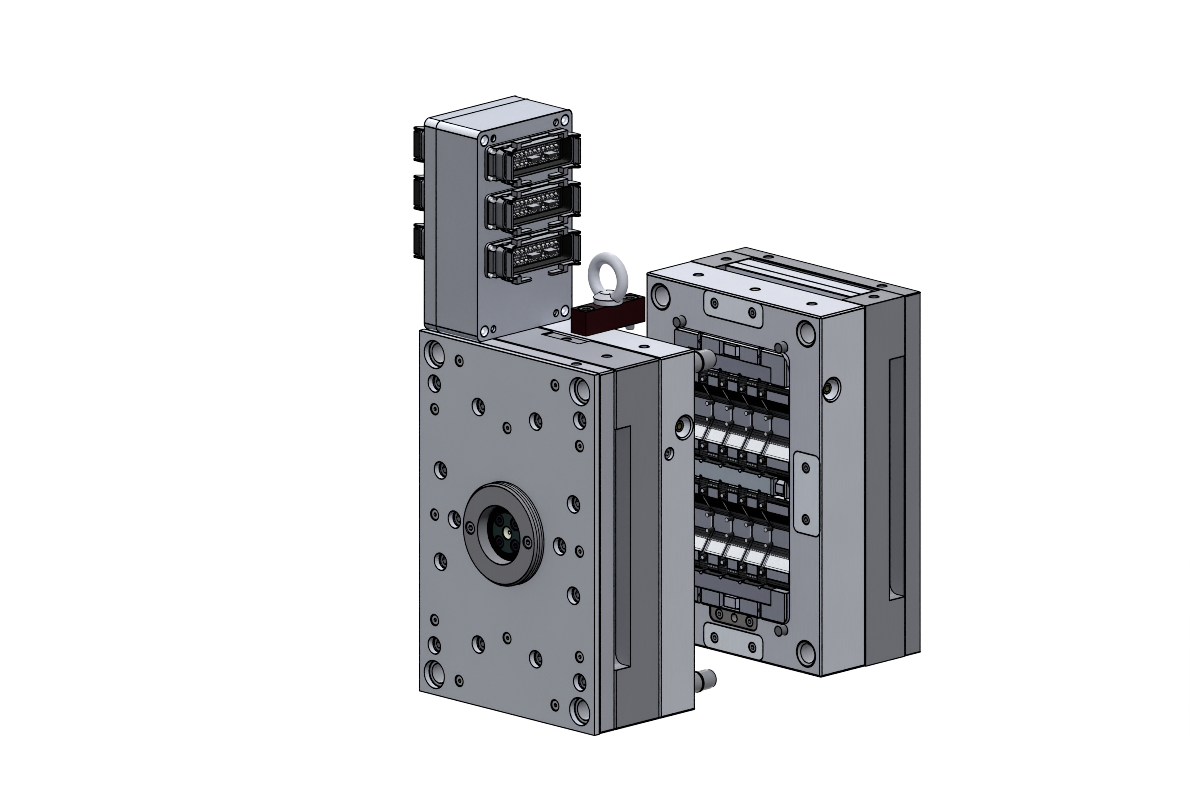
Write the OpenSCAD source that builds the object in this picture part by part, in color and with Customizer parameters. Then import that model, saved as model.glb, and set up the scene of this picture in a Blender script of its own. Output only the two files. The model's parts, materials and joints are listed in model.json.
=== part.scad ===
// Multi-cavity injection mould with a hot runner, standing open as on its machine.
// Origin: centre of the fixed clamping face, on the machine axis. +Y is the opening direction, +Z is up.

/* [Plates] */
// Plate left on each side of the inserts
margin_w = 53; // [50:1:65]
// Plate left above and below the inserts
margin_h = 56; // [53:1:73]
// Bevel on the plates' outer edges
plate_bevel = 2; // [1:0.5:3]
// Thickness of the insulation plate
insulation_t = 8; // [7:0.5:12]
// Thickness of the fixed clamping plate
clamp_t = 27; // [25:1:36]
// Thickness of the hot-runner frame plate
manifold_t = 76; // [72:1:96]
// Thickness of the cavity plate
cavity_t = 60; // [56:1:76]
// Thickness of the core plate
core_t = 76; // [70:1:96]
// Height of the risers, which is the depth of the ejector space
riser_t = 66; // [66:1:86]
// Width of each riser
riser_w = 40; // [38:1:42]
// Thickness of the moving clamping plate
moving_clamp_t = 27; // [25:1:36]
// Distance that the two halves stand apart at rest
mould_open = 212; // [150:1:300]

/* [Clamping] */
// Width of the clamping slots along the opening direction
slot_w = 26; // [22:1:28]
// Depth of the clamping slots
slot_depth = 25; // [20:1:26]
// Distance of the slots' ends from the plates' top and bottom
slot_end = 74; // [71:1:83]
// Corner radius of the clamping slots
slot_r = 12; // [6:1:16]
// Diameter of the tapped holes in the top faces
top_hole_d = 12; // [8:1:14]
// Depth of the tapped holes in the top faces
top_hole_depth = 18; // [14:1:19]
// Distance of the tapped top holes from the centre
top_hole_x = 96; // [85:1:100]

/* [Locating ring and inlet] */
// Diameter of the locating ring
ring_d = 125; // [120:1:140]
// How far the locating ring stands out
ring_h = 14; // [11:0.5:20]
// Bevel on the ring's front edge
ring_bevel = 2.5; // [1:0.5:4]
// Bore of the locating ring
ring_bore_d = 72; // [70:1:76]
// Diameter of the spigot that centres the ring
spigot_d = 80; // [78:1:84]
// How deep the spigot enters the clamping plate
spigot_depth = 4; // [2:0.5:6]
// Distance of the ring's screws from the centre
ring_screw_x = 48.5; // [48:0.5:52]
// Diameter of the inlet flange
inlet_d = 66; // [60:1:68]
// How deep the inlet flange is seated behind the clamping face
inlet_t = 16; // [14:0.5:18]
// Diameter of the inlet's stem
inlet_stem_d = 26; // [20:1:27]
// Diameter of the nozzle seat
seat_d = 16; // [12:1:18]
// Distance of the inlet screws from both centre lines
inlet_screw_xz = 13.5; // [13:0.5:16]

/* [Guides] */
// Distance of the guide axes from the plates' edges
guide_in = 25; // [22:0.5:28]
// Diameter of the guide pillars
guide_d = 24; // [20:1:26]
// Length of the guide pillars beyond the parting face
guide_len = 50; // [40:1:55]
// Diameter of the pillars' shoulder, of the bushes and of the long sleeves
shoulder_d = 32; // [30:1:34]
// Diameter of the guide holes in the insulation plate
guide_hole_d = 34; // [33:1:38]
// Length of the guide bushes
bush_len = 60; // [56:1:64]
// Diameter of the short dowel sleeves of the moving half
dowel_d = 26; // [20:1:27]
// Length of a short dowel sleeve
dowel_len = 24; // [16:1:26]

/* [Inserts] */
// Corner radius of both mould inserts
insert_r = 10; // [6:1:12]
// Depth of the cavity insert's seat below the parting face
cavity_seat = 40; // [36:1:42]
// Depth of the core insert's seat below the parting face
core_seat = 42; // [36:1:50]
// How far the core insert's end blocks stand proud
insert_proud = 6.6; // [5:0.2:8]
// Spacing of the cavities along a row
cavity_pitch = 33; // [30:0.5:34]
// Cavities along each side of a row
cavity_count = 4; // [2:1:4]
// How far the ridges stand above the parting face
ridge_proud = 1.4; // [0.8:0.1:2]
// Depth of the trough floor below the parting face
trough_depth = 15; // [10:0.5:18]
// Half the width of the trough floor
trough_floor = 11.6; // [10:0.2:13]
// Half the width of the trough mouth
trough_mouth = 35; // [33:0.5:36]
// Distance of a ridge's outer edge from the row's centre
ridge_edge = 47.5; // [46:0.5:49]
// Half the width of a cavity row with its outer grooves
row_edge = 58.5; // [57:0.5:59]
// Width of a cavity between two ridge blocks
cavity_w = 15.5; // [12:0.5:17]
// Depth of a cavity below the parting face
cavity_depth = 7; // [5:0.5:9]
// How far the parting bars reach past the cavities' pitch
bar_end = 4; // [2:1:8]
// Height of the upper and lower parting bars
bar_h = 19.5; // [17:0.5:21]
// Height of the middle parting bar between the two rows
mid_bar_h = 21; // [18:0.5:24]
// Height of the recesses for the tapered locks
lock_h = 18; // [16:0.5:22]

/* [Ejection] */
// Thickness of the ejector retainer plate
retainer_t = 17; // [15:0.5:18]
// Thickness of the ejector plate
ejector_t = 22; // [20:0.5:24]
// Gap at each side between the ejector plates and the risers
ejector_side_gap = 2; // [1:0.5:3]
// How far the ejectors stand forward at rest
eject_rest = 10; // [4:0.5:11]
// Diameter of the return pins
return_d = 12; // [10:1:13]
// Distance of the return pins' axes inside the inserts' sides
return_in = 9; // [7:1:15]
// Distance of the return pins' axes beyond the inserts' ends
return_out = 8; // [7.5:0.5:11]
// Diameter of the ejector pins
pin_d = 5; // [3:0.5:6]
// Diameter of the ejector rod's bore
rod_bore_d = 40; // [30:1:44]
// Diameter of the support pillars
pillar_d = 30; // [24:1:32]

/* [Junction box] */
// Width of the junction box with its lid
box_w = 90; // [88:1:96]
// Length of the junction box along the opening direction
box_l = 160; // [158:1:162]
// Height of the junction box
box_h = 260; // [256:1:280]
// Thickness of the lid
lid_t = 20; // [16:1:24]
// Corner radius of the box
box_r = 8; // [6:1:10]
// Wall of the box
box_wall = 4; // [3:0.5:5]
// Gap between the box and the plate's edge
box_inset = 0; // [0:1:6]
// Height of the middle connector above the plates
connector_z = 159; // [155:1:165]
// Spacing of the connectors
connector_pitch = 60; // [56:1:64]
// Length of a connector's flange
flange_l = 132; // [130:1:136]
// Height of a connector's flange
flange_h = 42; // [42:0.5:46]
// How far a connector's collar stands out
collar_out = 24; // [22:1:28]

/* [Lifting gear] */
// Width of the lifting bar
lift_w = 25; // [22:1:30]
// Length of the lifting bar
lift_l = 100; // [90:1:110]
// Height of the lifting bar
lift_h = 30; // [26:1:36]
// Distance of the bar's screws from its middle
lift_screw_y = 37; // [30:1:40]
// Outer diameter of the eye
eye_d = 63; // [60:1:70]
// Thickness of the eye's ring
eye_t = 14; // [12:1:16]

/* [Hidden] */
$fn = 48;

// Clearances, all on the radius or on one side
seat_gap = 0.05;
thread_gap = 0.1;
running_gap = 0.05;
free_gap = 0.5;
mate_gap = 0.4;
end_gap = 0.2;
back_gap = 0.1;
cut = 1;

// Socket screws as [thread, head diameter, head height, socket across flats]
m3 = [3, 5.5, 3, 2.5];
m6 = [6, 10, 6, 5];
m8 = [8, 13, 8, 6];
m12 = [12, 18, 12, 10];
flat6 = [6, 12, 3.5, 4];
head_room = 1;
head_gap = 1;
low_head_room = 0.5;
socket_depth = 0.6;

// Rows, inserts and plates, from the cavities outwards
insert_bevel = 2;
bar_lock_gap = 5;
row_z = mid_bar_h / 2 + row_edge;
row_outer = row_z + row_edge;
row_inner = row_z - row_edge;
bar_half_l = cavity_count / 2 * cavity_pitch + bar_end;
insert_half_w = bar_half_l + bar_lock_gap + lock_h + insert_bevel;
insert_half_h = row_outer + bar_h + lock_h + insert_bevel;
insert_w = 2 * insert_half_w;
insert_h = 2 * insert_half_h;
half_w = insert_half_w + margin_w;
half_h = insert_half_h + margin_h;
plate_w = 2 * half_w;
plate_h = 2 * half_h;
riser_inner = half_w - riser_w;
slot_half_h = half_h - slot_end;

// Faces along the opening direction
y_clamp = insulation_t;
y_manifold = y_clamp + clamp_t;
y_cavity = y_manifold + manifold_t;
y_parting = y_cavity + cavity_t;
y_core = y_parting + mould_open;
y_riser = y_core + core_t;
y_moving_clamp = y_riser + riser_t;
y_back = y_moving_clamp + moving_clamp_t;

// Screws of the fixed half
clamp_hole_d = 21;
screw_in = 25;
long_screw_end_in = 61;
long_screw_x = half_w - screw_in;
long_screw_z = half_h - long_screw_end_in;
clamp_end_in = 76;
clamp_side_in = 35.5;
clamp_xz = [[48.5, half_h - clamp_end_in], [half_w - clamp_side_in, 56.5]];
clamp_mid_x = 89;
insulation_side_in = 25.5;
insulation_mid_x = half_w - insulation_side_in;
insulation_xz = [[81, half_h - screw_in], [insulation_mid_x, 130.5]];
insulation_mid_z = 130;
insulation_bore_d = 13.5;
insulation_screw_len = 16;
ring_screw_len = 16 + insulation_t;
inlet_screw_len = 22;
thread_len = 22;
cavity_hole_y = 25.2;

// Guides
guide_x = half_w - guide_in;
guide_z = half_h - guide_in;
guide_head_t = 6;
guide_head_out = 2.5;
guide_tip = 6;
guide_tip_in = 2;
oil_groove_depth = 0.8;
oil_groove_w = 2.5;
sleeve_wall = 4;
sleeve_back = 2;
bush_lead = 3;

// Hot runner
nozzle_x = cavity_count / 4 * cavity_pitch;
runner_t = 36;
runner_arm_w = 46;
runner_gap = 7;
pocket_side_room = 19;
pocket_end_room = 23;
pocket_w = 2 * (nozzle_x + runner_arm_w / 2 + pocket_side_room);
pocket_h = 2 * (row_z + runner_arm_w / 2 + pocket_end_room);
pocket_depth = 50;
pocket_r = 12;
seat_ball_d = 25.6;
seat_dish = 3.2;
nozzle_bore_d = 40;
nozzle_seat_d = 34;
nozzle_body_d = 30;
nozzle_tip_d = 14;
nozzle_tip_back = 4;
nozzle_collar_t = 4;
gate_wall = 2;
gate_d = 2;
channel_d = 8;
channel_step = 1;
pad_d = 30;
wire_w = 64;
wire_depth = 21;
wire_reach = 35;
wire_z = pocket_h / 2 - wire_reach;
cover_h = 30;
wire_port_x = -100;
wire_port_w = 24;
wire_port_y = 57;
wire_port_t = 14;
wire_port_z = 100;

// Inserts
bar_drop = 1;
bar_depth = 18;
bar_notch_d = 5;
bar_notch_depth = 6;
groove_w = 4.5;
groove_depth = 4;
groove_land = 1.2;
seam_w = 0.8;
seam_depth = 0.6;
slope_groove_w = 4;
slope_groove_depth = 2;
core_w = 6;
core_post_d = 2.6;
pin_floor_out = 0.6;
core_post_x = 5.2;
core_in = 1;
core_drop = 0.5;
pin_ridge = (trough_mouth + ridge_edge) / 2;
pin_floor = trough_floor - pin_d / 2 + pin_floor_out;
lock_w = 34;
lock_room = 5;
lock_block_w = 27;
lock_block_h = lock_h - lock_room;
lock_taper = 4;
lock_side_gap = 1;
end_slot_x = 50.5;
end_slot_w = 6;
end_slot_h = lock_h + 2 * insert_bevel;
end_slot_depth = 4;
end_slot_z = (insert_half_h + row_outer + bar_h) / 2;
insert_screw_side_in = 21;
insert_screw_end_in = 27;
insert_screw_x = insert_half_w - insert_screw_side_in;
insert_screw_z = insert_half_h - insert_screw_end_in;
insert_screw_len = 26;
insert_thread_len = 16;
side_screw_y = 44.4;
side_bore_d = 15;
side_bore_depth = 12;

// Cooling ports on the right side
port_d = 26;
port_depth = 30;
port_bevel = 2;
port_end_in = 37;
port_z = insert_half_h - port_end_in;
side_screw_below_port = 28;
side_screw_z = port_z - side_screw_below_port;
port_behind_parting = 19;
port_hole_d = 10;
plug_hex = 20;
plug_t = 11;
plug_pipe_d = 13;
plug_pipe_len = 22;
plug_pipe_wall = 2.5;

// Core plate face
key_w = 80;
key_h = 19;
key_t = 10;
key_drop = 1.5;
key_gap = 0.2;
key_z = -insert_half_h - key_gap - key_h / 2;
key_screw_x = 25.5;
key_hole_d = 10;
pad_half_w = 50;
pad_clear_key = 3.8;
pad_in_z = insert_half_h + key_gap + key_h + pad_clear_key;
side_pad_clear = 7;
side_pad_in_x = insert_half_w + side_pad_clear;
side_pad_half_h = 50;
pad_t = 8;
pad_r = 8;
pad_screw_x = 32;
pad_screw_end_in = 16;
side_pad_screw_in = 25.5;
pad_screw_z = half_h - pad_screw_end_in;
side_pad_screw_x = half_w - side_pad_screw_in;
side_pad_screw_z = 32;
pad_screw_len = 12;

// Moving half
moving_side_in = 32.5;
moving_corner_in = 20;
moving_end_in = 53;
moving_mid_in = 98;
moving_xz = [
    [half_w - moving_side_in, 50],
    [half_w - moving_side_in, half_h - moving_mid_in],
    [half_w - moving_corner_in, half_h - moving_end_in]
];
pillar_x = 75;
pillar_z = 45;
riser_hole_in = 23;
riser_hole_x = half_w - riser_hole_in;
riser_hole_y = 37;

// Ejection
return_x = insert_half_w - return_in;
return_z = insert_half_h + return_out;
eject_front = y_moving_clamp - back_gap - eject_rest - ejector_t - retainer_t;
eject_split = eject_front + retainer_t;
pin_head_t = 4;
pin_head_d = 9;
return_head_d = 18;
return_head_t = 5;
ejector_screw_in = 16;
ejector_screw_x = riser_inner - ejector_screw_in;
ejector_screw_z = 110;
retainer_thread_len = 15;
rod_thread_d = 16;
relief_room = 1.5;
relief_gap = 1;

// Junction box
box_x0 = -half_w;
box_x1 = box_x0 + box_w;
box_split = box_x0 + lid_t;
box_mid_x = (box_x0 + box_x1) / 2;
box_y0 = y_clamp + box_inset;
box_mid_y = box_y0 + box_l / 2;
box_corner = 12;
corner_hole_d = 13;
corner_hole_depth = 9;
vent_d = 8;
vent_in = 27;
lid_hollow = 14;
boss = 22;
box_foot_in = [17, 41];
box_foot_end = 30;
box_foot_y = [34, box_l - box_foot_end];
foot_screw_len = 20;

// Connectors, drawn for the right side and mirrored to the left
flange_t = 4;
base_out = 12;
base_short = 2;
collar_short = 6.5;
collar_h = 36;
collar_wall = 3;
collar_r = 6;
collar_inner_r = 4;
flange_screw_in = 4;
connector_shift = -1.5;
pivot_out = 18;
pivot_in = 16;
pivot_d = 5;
pivot_boss_d = 8;
pivot_cap = 0.8;
arm_t = 2;
arm_r = 5;
arm_gap = 0.3;
handle_u0 = 10.5;
handle_u1 = 19.5;
handle_v0 = 5.5;
handle_v1 = 8.5;
handle_step = 2.5;
handle_half_h = 15.5;
hook_w = 9;
hook_in = 4.5;
hook_reach = 34;
hook_start = 7;
hook_out = 7;
hook_t = 2.5;
contact_h = 24;
contact_in = 8;
contact_back = 9;
contact_drop = 11;
contact_top = collar_out - contact_drop;
contact_d = 2.6;
contact_r = 2;
window_l = 95;
window_h = 20;
contact_len = 5;
contact_cols = 12;
contact_pitch = 7.2;
contact_rows = [-6.5, 6.5];

// Lifting gear
lift_relief = 0.3;
lift_overhang_gap = 0.4;
eye_thread_d = 16;
eye_collar_d = 35;
eye_collar_h = 13;
eye_collar_t = 7;
eye_neck_d = 20;
eye_centre = 30.5;
eye_thread_len = 24;

// Shapes along each axis
module rod_y(x, z, y0, y1, d) {
    translate([x, y0, z]) rotate([-90, 0, 0]) cylinder(h = y1 - y0, d = d);
}
module rod_x(y, z, x0, x1, d) {
    translate([x0, y, z]) rotate([0, 90, 0]) cylinder(h = x1 - x0, d = d);
}
module rod_z(x, y, z0, z1, d) {
    translate([x, y, z0]) cylinder(h = z1 - z0, d = d);
}
module box(x0, x1, y0, y1, z0, z1) {
    translate([x0, y0, z0]) cube([x1 - x0, y1 - y0, z1 - z0]);
}
module at4(x, z) {
    for (sx = [-1, 1], sz = [-1, 1]) translate([sx * x, 0, sz * z]) children();
}

// Rectangle with cut corners, with its lowest corner at the origin
module cut_rect(a, b, c) {
    polygon([[c, 0], [a - c, 0], [a, c], [a, b - c], [a - c, b], [c, b], [0, b - c], [0, c]]);
}
// Rectangle with round corners, centred
module round_rect(a, b, r) {
    square([a - 2 * r, b], center = true);
    square([a, b - 2 * r], center = true);
    for (sx = [-1, 1], sy = [-1, 1]) translate([sx * (a / 2 - r), sy * (b / 2 - r)]) circle(r);
}
// Round-cornered block centred in X and Z that runs from y0 to y1
module round_block(w, h, r, y0, y1) {
    translate([0, y1, 0]) rotate([90, 0, 0]) linear_extrude(y1 - y0) round_rect(w, h, r);
}
// Round-cornered block centred in Y and Z that runs from x0 to x1
module round_block_x(l, h, r, x0, x1) {
    translate([x0, 0, 0]) rotate([90, 0, 90]) linear_extrude(x1 - x0) round_rect(l, h, r);
}
// Outline in Z and Y drawn through the whole width w
module across(w) {
    translate([-w / 2, 0, 0]) rotate([90, 0, 90]) linear_extrude(w) children();
}
// Plate centred in X and Z with bevelled edges
module plate(w, y0, t, h, c) {
    translate([-w / 2, y0, -h / 2]) intersection() {
        linear_extrude(h) cut_rect(w, t, c);
        translate([0, t, 0]) rotate([90, 0, 0]) linear_extrude(t) cut_rect(w, h, c);
        rotate([90, 0, 90]) linear_extrude(w) cut_rect(t, h, c);
    }
}

// A hexagon's width over its corners
function across_corners(flats) = flats / cos(30);
// Socket screw along +Y whose head starts at y0
module screw_y(x, z, y0, s, len) {
    difference() {
        union() {
            rod_y(x, z, y0, y0 + s[2], s[1]);
            rod_y(x, z, y0, y0 + s[2] + len, s[0]);
        }
        translate([x, y0 - cut, z]) rotate([-90, 0, 0])
            cylinder(h = cut + s[2] * socket_depth, d = across_corners(s[3]), $fn = 6);
    }
}
// The same screw along -Y, with the back of its head at y0
module screw_back(x, z, y0, s, len) {
    translate([0, y0, 0]) mirror([0, 1, 0]) screw_y(x, z, 0, s, len);
}
// The same screw along -Z, with the top of its head at z0
module screw_down(x, y, z0, s, len) {
    translate([x, y, z0]) rotate([-90, 0, 0]) screw_y(0, 0, 0, s, len);
}
// The same screw along -X, with the outer face of its head at x0
module screw_left(y, z, x0, s, len) {
    translate([x0, y, z]) rotate([0, 0, 90]) screw_y(0, 0, 0, s, len);
}
// Tapped hole and head seat for screw_y
module tapped_y(x, z, y0, s, len) {
    rod_y(x, z, y0, y0 + len, s[0] + 2 * thread_gap);
}
module sunk_y(x, z, y0, s, depth) {
    rod_y(x, z, y0 - cut, y0 + depth, s[1] + 2 * head_gap);
}

// Places of the fixed half's screws
module at_short_clamp_screws() {
    for (p = clamp_xz) at4(p[0], p[1]) children();
    for (sx = [-1, 1]) translate([sx * clamp_mid_x, 0, 0]) children();
}
module at_clamp_screws() {
    at_short_clamp_screws() children();
    at4(long_screw_x, long_screw_z) children();
}
module at_insulation_screws() {
    for (p = insulation_xz) at4(p[0], p[1]) children();
    for (s = [-1, 1]) {
        translate([s * insulation_mid_x, 0, 0]) children();
        translate([0, 0, s * insulation_mid_z]) children();
    }
}
module at_guides() {
    at4(guide_x, guide_z) children();
}
module at_ring_screws() {
    for (s = [-1, 1]) translate([s * ring_screw_x, 0, 0]) children();
}
module at_insert_screws() {
    at4(insert_screw_x, insert_screw_z) children();
    for (s = [-1, 1]) translate([s * insert_screw_x, 0, 0]) children();
}
module at_nozzles() {
    at4(nozzle_x, row_z) children();
}
module at_moving_screws() {
    for (p = moving_xz) at4(p[0], p[1]) children();
}
module at_pillars() {
    at4(pillar_x, pillar_z) children();
}
module at_ejector_screws() {
    at4(ejector_screw_x, ejector_screw_z) children();
    for (s = [-1, 1]) translate([s * ejector_screw_x, 0, 0]) children();
}
// Places of the cavities along a row
function cavity_x(i) = (i - (cavity_count - 1) / 2) * cavity_pitch;
module at_cavity_columns() {
    for (i = [0 : cavity_count - 1]) translate([cavity_x(i), 0, 0]) children();
}
// Every ejector pin, given its distance from its row's centre
module at_pins(z) {
    for (row = [-1, 1], side = [-1, 1]) translate([0, 0, row * row_z + side * z])
        at_cavity_columns() children();
}
module top_hole(x, y, depth) {
    rod_z(x, y, half_h - depth, half_h + cut, top_hole_d);
}
module foot_holes(y) {
    for (in = box_foot_in) rod_z(box_x1 - in, y, half_h - foot_screw_len, half_h + cut,
        m6[0] + 2 * thread_gap);
}

// Clamping slots in both sides between y0 and y1
module clamp_slots(y0, y1) {
    for (s = [-1, 1]) translate([s * half_w, 0, 0])
        round_block(2 * slot_depth, 2 * slot_half_h, slot_r, y0, y1);
}

// Fixed half

module insulation_plate() {
    color("lightslategray") difference() {
        box(-half_w, half_w, 0, insulation_t, -half_h, half_h);
        rod_y(0, 0, -cut, insulation_t + cut, spigot_d + 2 * seat_gap);
        at_clamp_screws() rod_y(0, 0, -cut, insulation_t + cut, clamp_hole_d);
        at_guides() rod_y(0, 0, -cut, insulation_t + cut, guide_hole_d);
        at_ring_screws() rod_y(0, 0, -cut, insulation_t + cut, m8[0] + 2 * free_gap);
        at_insulation_screws() {
            rod_y(0, 0, -cut, flat6[2] + head_room, insulation_bore_d);
            rod_y(0, 0, -cut, insulation_t + cut, flat6[0] + 2 * free_gap);
        }
    }
}

module insulation_screws() {
    color("dimgray") at_insulation_screws() screw_y(0, 0, head_room, flat6, insulation_screw_len);
}

module fixed_clamp_plate() {
    color("gray") difference() {
        plate(plate_w, y_clamp, clamp_t, plate_h, plate_bevel);
        rod_y(0, 0, y_clamp - cut, y_clamp + spigot_depth, spigot_d + 2 * seat_gap);
        rod_y(0, 0, y_clamp, inlet_t, inlet_d + 2 * seat_gap);
        rod_y(0, 0, y_clamp, y_manifold + cut, inlet_stem_d + 2 * free_gap);
        at4(inlet_screw_xz, inlet_screw_xz) tapped_y(0, 0, inlet_t - cut, m8, inlet_screw_len);
        at_clamp_screws() {
            sunk_y(0, 0, y_clamp, m12, m12[2] + head_room);
            rod_y(0, 0, y_clamp, y_manifold + cut, m12[0] + 2 * free_gap);
        }
        at_guides() rod_y(0, 0, y_clamp - cut, y_manifold + cut, shoulder_d + 2 * seat_gap);
        at_insulation_screws() tapped_y(0, 0, y_clamp - cut, flat6, insulation_screw_len);
        at_ring_screws() tapped_y(0, 0, y_clamp - cut, m8, ring_screw_len);
        top_hole(top_hole_x, y_clamp + clamp_t / 2, top_hole_depth);
    }
}

module clamp_screws() {
    color("silver") {
        at_short_clamp_screws() screw_y(0, 0, y_clamp + head_room, m12, clamp_t - m12[2] + thread_len);
        at4(long_screw_x, long_screw_z)
            screw_y(0, 0, y_clamp + head_room, m12, clamp_t - m12[2] + manifold_t + thread_len);
    }
}

module locating_ring() {
    color("dimgray") difference() {
        union() {
            translate([0, -ring_h, 0]) rotate([-90, 0, 0])
                cylinder(h = 2 * ring_bevel, d1 = ring_d - 2 * ring_bevel, d2 = ring_d);
            rod_y(0, 0, 2 * ring_bevel - ring_h, 0, ring_d);
            rod_y(0, 0, -ring_bevel, y_clamp + spigot_depth, spigot_d);
        }
        rod_y(0, 0, -ring_h - cut, y_clamp + spigot_depth + cut, ring_bore_d);
        at_ring_screws() {
            sunk_y(0, 0, -ring_h, m8, m8[2] + head_room);
            rod_y(0, 0, -ring_h, cut, m8[0] + 2 * free_gap);
        }
    }
}

module ring_screws() {
    color("slategray") {
        at_ring_screws() screw_y(0, 0, head_room - ring_h, m8, ring_h - m8[2] + ring_screw_len - head_room);
        at4(inlet_screw_xz, inlet_screw_xz) screw_y(0, 0, head_room, m8, inlet_screw_len);
    }
}

module inlet_bush() {
    color("darkslategray") difference() {
        union() {
            rod_y(0, 0, 0, inlet_t, inlet_d);
            rod_y(0, 0, 0, y_manifold + runner_gap, inlet_stem_d);
        }
        rod_y(0, 0, -cut, m8[2], seat_d + 2 * seat_gap);
        rod_y(0, 0, -cut, y_manifold + runner_gap + cut, channel_d);
        at4(inlet_screw_xz, inlet_screw_xz) {
            sunk_y(0, 0, 0, m8, m8[2] + head_room);
            rod_y(0, 0, -cut, inlet_t + cut, m8[0] + 2 * free_gap);
        }
    }
}

module nozzle_seat() {
    color("beige") difference() {
        rod_y(0, 0, head_room, m8[2], seat_d);
        translate([0, head_room + seat_dish - seat_ball_d / 2, 0]) sphere(d = seat_ball_d);
        rod_y(0, 0, -cut, m8[2] + cut, channel_d / 2);
    }
}

module manifold_plate() {
    color("dimgray") difference() {
        plate(plate_w, y_manifold, manifold_t, plate_h, plate_bevel);
        clamp_slots(y_manifold - cut, y_manifold + slot_w);
        round_block(pocket_w, pocket_h, pocket_r, y_manifold - cut, y_manifold + pocket_depth);
        at_nozzles() rod_y(0, 0, y_manifold, y_cavity + cut, nozzle_bore_d);
        at_guides() rod_y(0, 0, y_manifold - cut, y_cavity + cut, shoulder_d + 2 * seat_gap);
        at_short_clamp_screws() tapped_y(0, 0, y_manifold - cut, m12, thread_len + cut + head_room);
        at4(long_screw_x, long_screw_z) rod_y(0, 0, y_manifold - cut, y_cavity + cut, m12[0] + 2 * free_gap);
        box(-wire_w / 2, wire_w / 2, y_cavity - wire_depth, y_cavity + cut, wire_z, half_h + cut);
        box(-wire_w / 2, wire_w / 2, y_manifold, y_cavity - wire_depth + cut, wire_z,
            pocket_h / 2 - pocket_r);
        box(wire_port_x - wire_port_w / 2, 0, wire_port_y - wire_port_t / 2, wire_port_y + wire_port_t / 2,
            wire_port_z - wire_port_w / 2, wire_port_z);
        box(wire_port_x - wire_port_w / 2, wire_port_x + wire_port_w / 2, wire_port_y - wire_port_t / 2,
            wire_port_y + wire_port_t / 2, wire_port_z - wire_port_w / 2, half_h + cut);
        top_hole(top_hole_x, y_manifold + manifold_t / 2, top_hole_depth);
        foot_holes(box_y0 + box_foot_y[0]);
    }
}

// H-shaped distributor with a drilled channel along each arm
module hot_runner_manifold() {
    y0 = y_manifold + runner_gap;
    y_mid = y0 + runner_t / 2;
    reach = runner_arm_w / 2;
    color("slategray") difference() {
        union() {
            for (s = [-1, 1]) box(s * nozzle_x - reach, s * nozzle_x + reach, y0, y0 + runner_t,
                -row_z - reach, row_z + reach);
            box(-nozzle_x, nozzle_x, y0, y0 + runner_t, -reach, reach);
        }
        rod_y(0, 0, y0 - cut, y_mid, channel_d);
        rod_x(y_mid, 0, -nozzle_x, nozzle_x, channel_d + channel_step);
        for (s = [-1, 1]) rod_z(s * nozzle_x, y_mid, -row_z - channel_d, row_z + channel_d,
            channel_d + 2 * channel_step);
        at_nozzles() rod_y(0, 0, y_mid, y0 + runner_t + cut, channel_d);
    }
}

module manifold_pads() {
    color("silver") at_nozzles() rod_y(0, 0, y_manifold, y_manifold + runner_gap, pad_d);
}

// Nozzles stand on the cavity plate and end just behind the ribs' tops
module hot_nozzles() {
    y0 = y_manifold + runner_gap + runner_t;
    y_tip = y_parting + trough_depth - mate_gap - nozzle_tip_back;
    color("lightgray") at_nozzles() difference() {
        union() {
            rod_y(0, 0, y0, y_cavity, nozzle_body_d);
            rod_y(0, 0, y_cavity - nozzle_collar_t, y_parting - cavity_seat, nozzle_seat_d);
            rod_y(0, 0, y_cavity, y_tip, nozzle_tip_d);
        }
        rod_y(0, 0, y0 - cut, y_tip - gate_wall, channel_d);
        rod_y(0, 0, y0, y_tip + cut, gate_d);
    }
}

module wire_channel_cover() {
    color("gray") difference() {
        box(seat_gap - wire_w / 2, wire_w / 2 - seat_gap, y_cavity - wire_depth + seat_gap, y_cavity,
            half_h - plate_bevel - cover_h, half_h - plate_bevel);
        rod_z(0, y_cavity - wire_depth / 2, 0, half_h, m12[0]);
    }
}

module cooling_port(y) {
    rod_x(y, port_z, half_w - port_depth, half_w + cut, port_d);
    translate([half_w - port_bevel, y, port_z]) rotate([0, 90, 0])
        cylinder(h = port_bevel + cut, d1 = port_d, d2 = port_d + 2 * (port_bevel + cut));
    rod_x(y, port_z, 0, half_w, port_hole_d);
}

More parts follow.
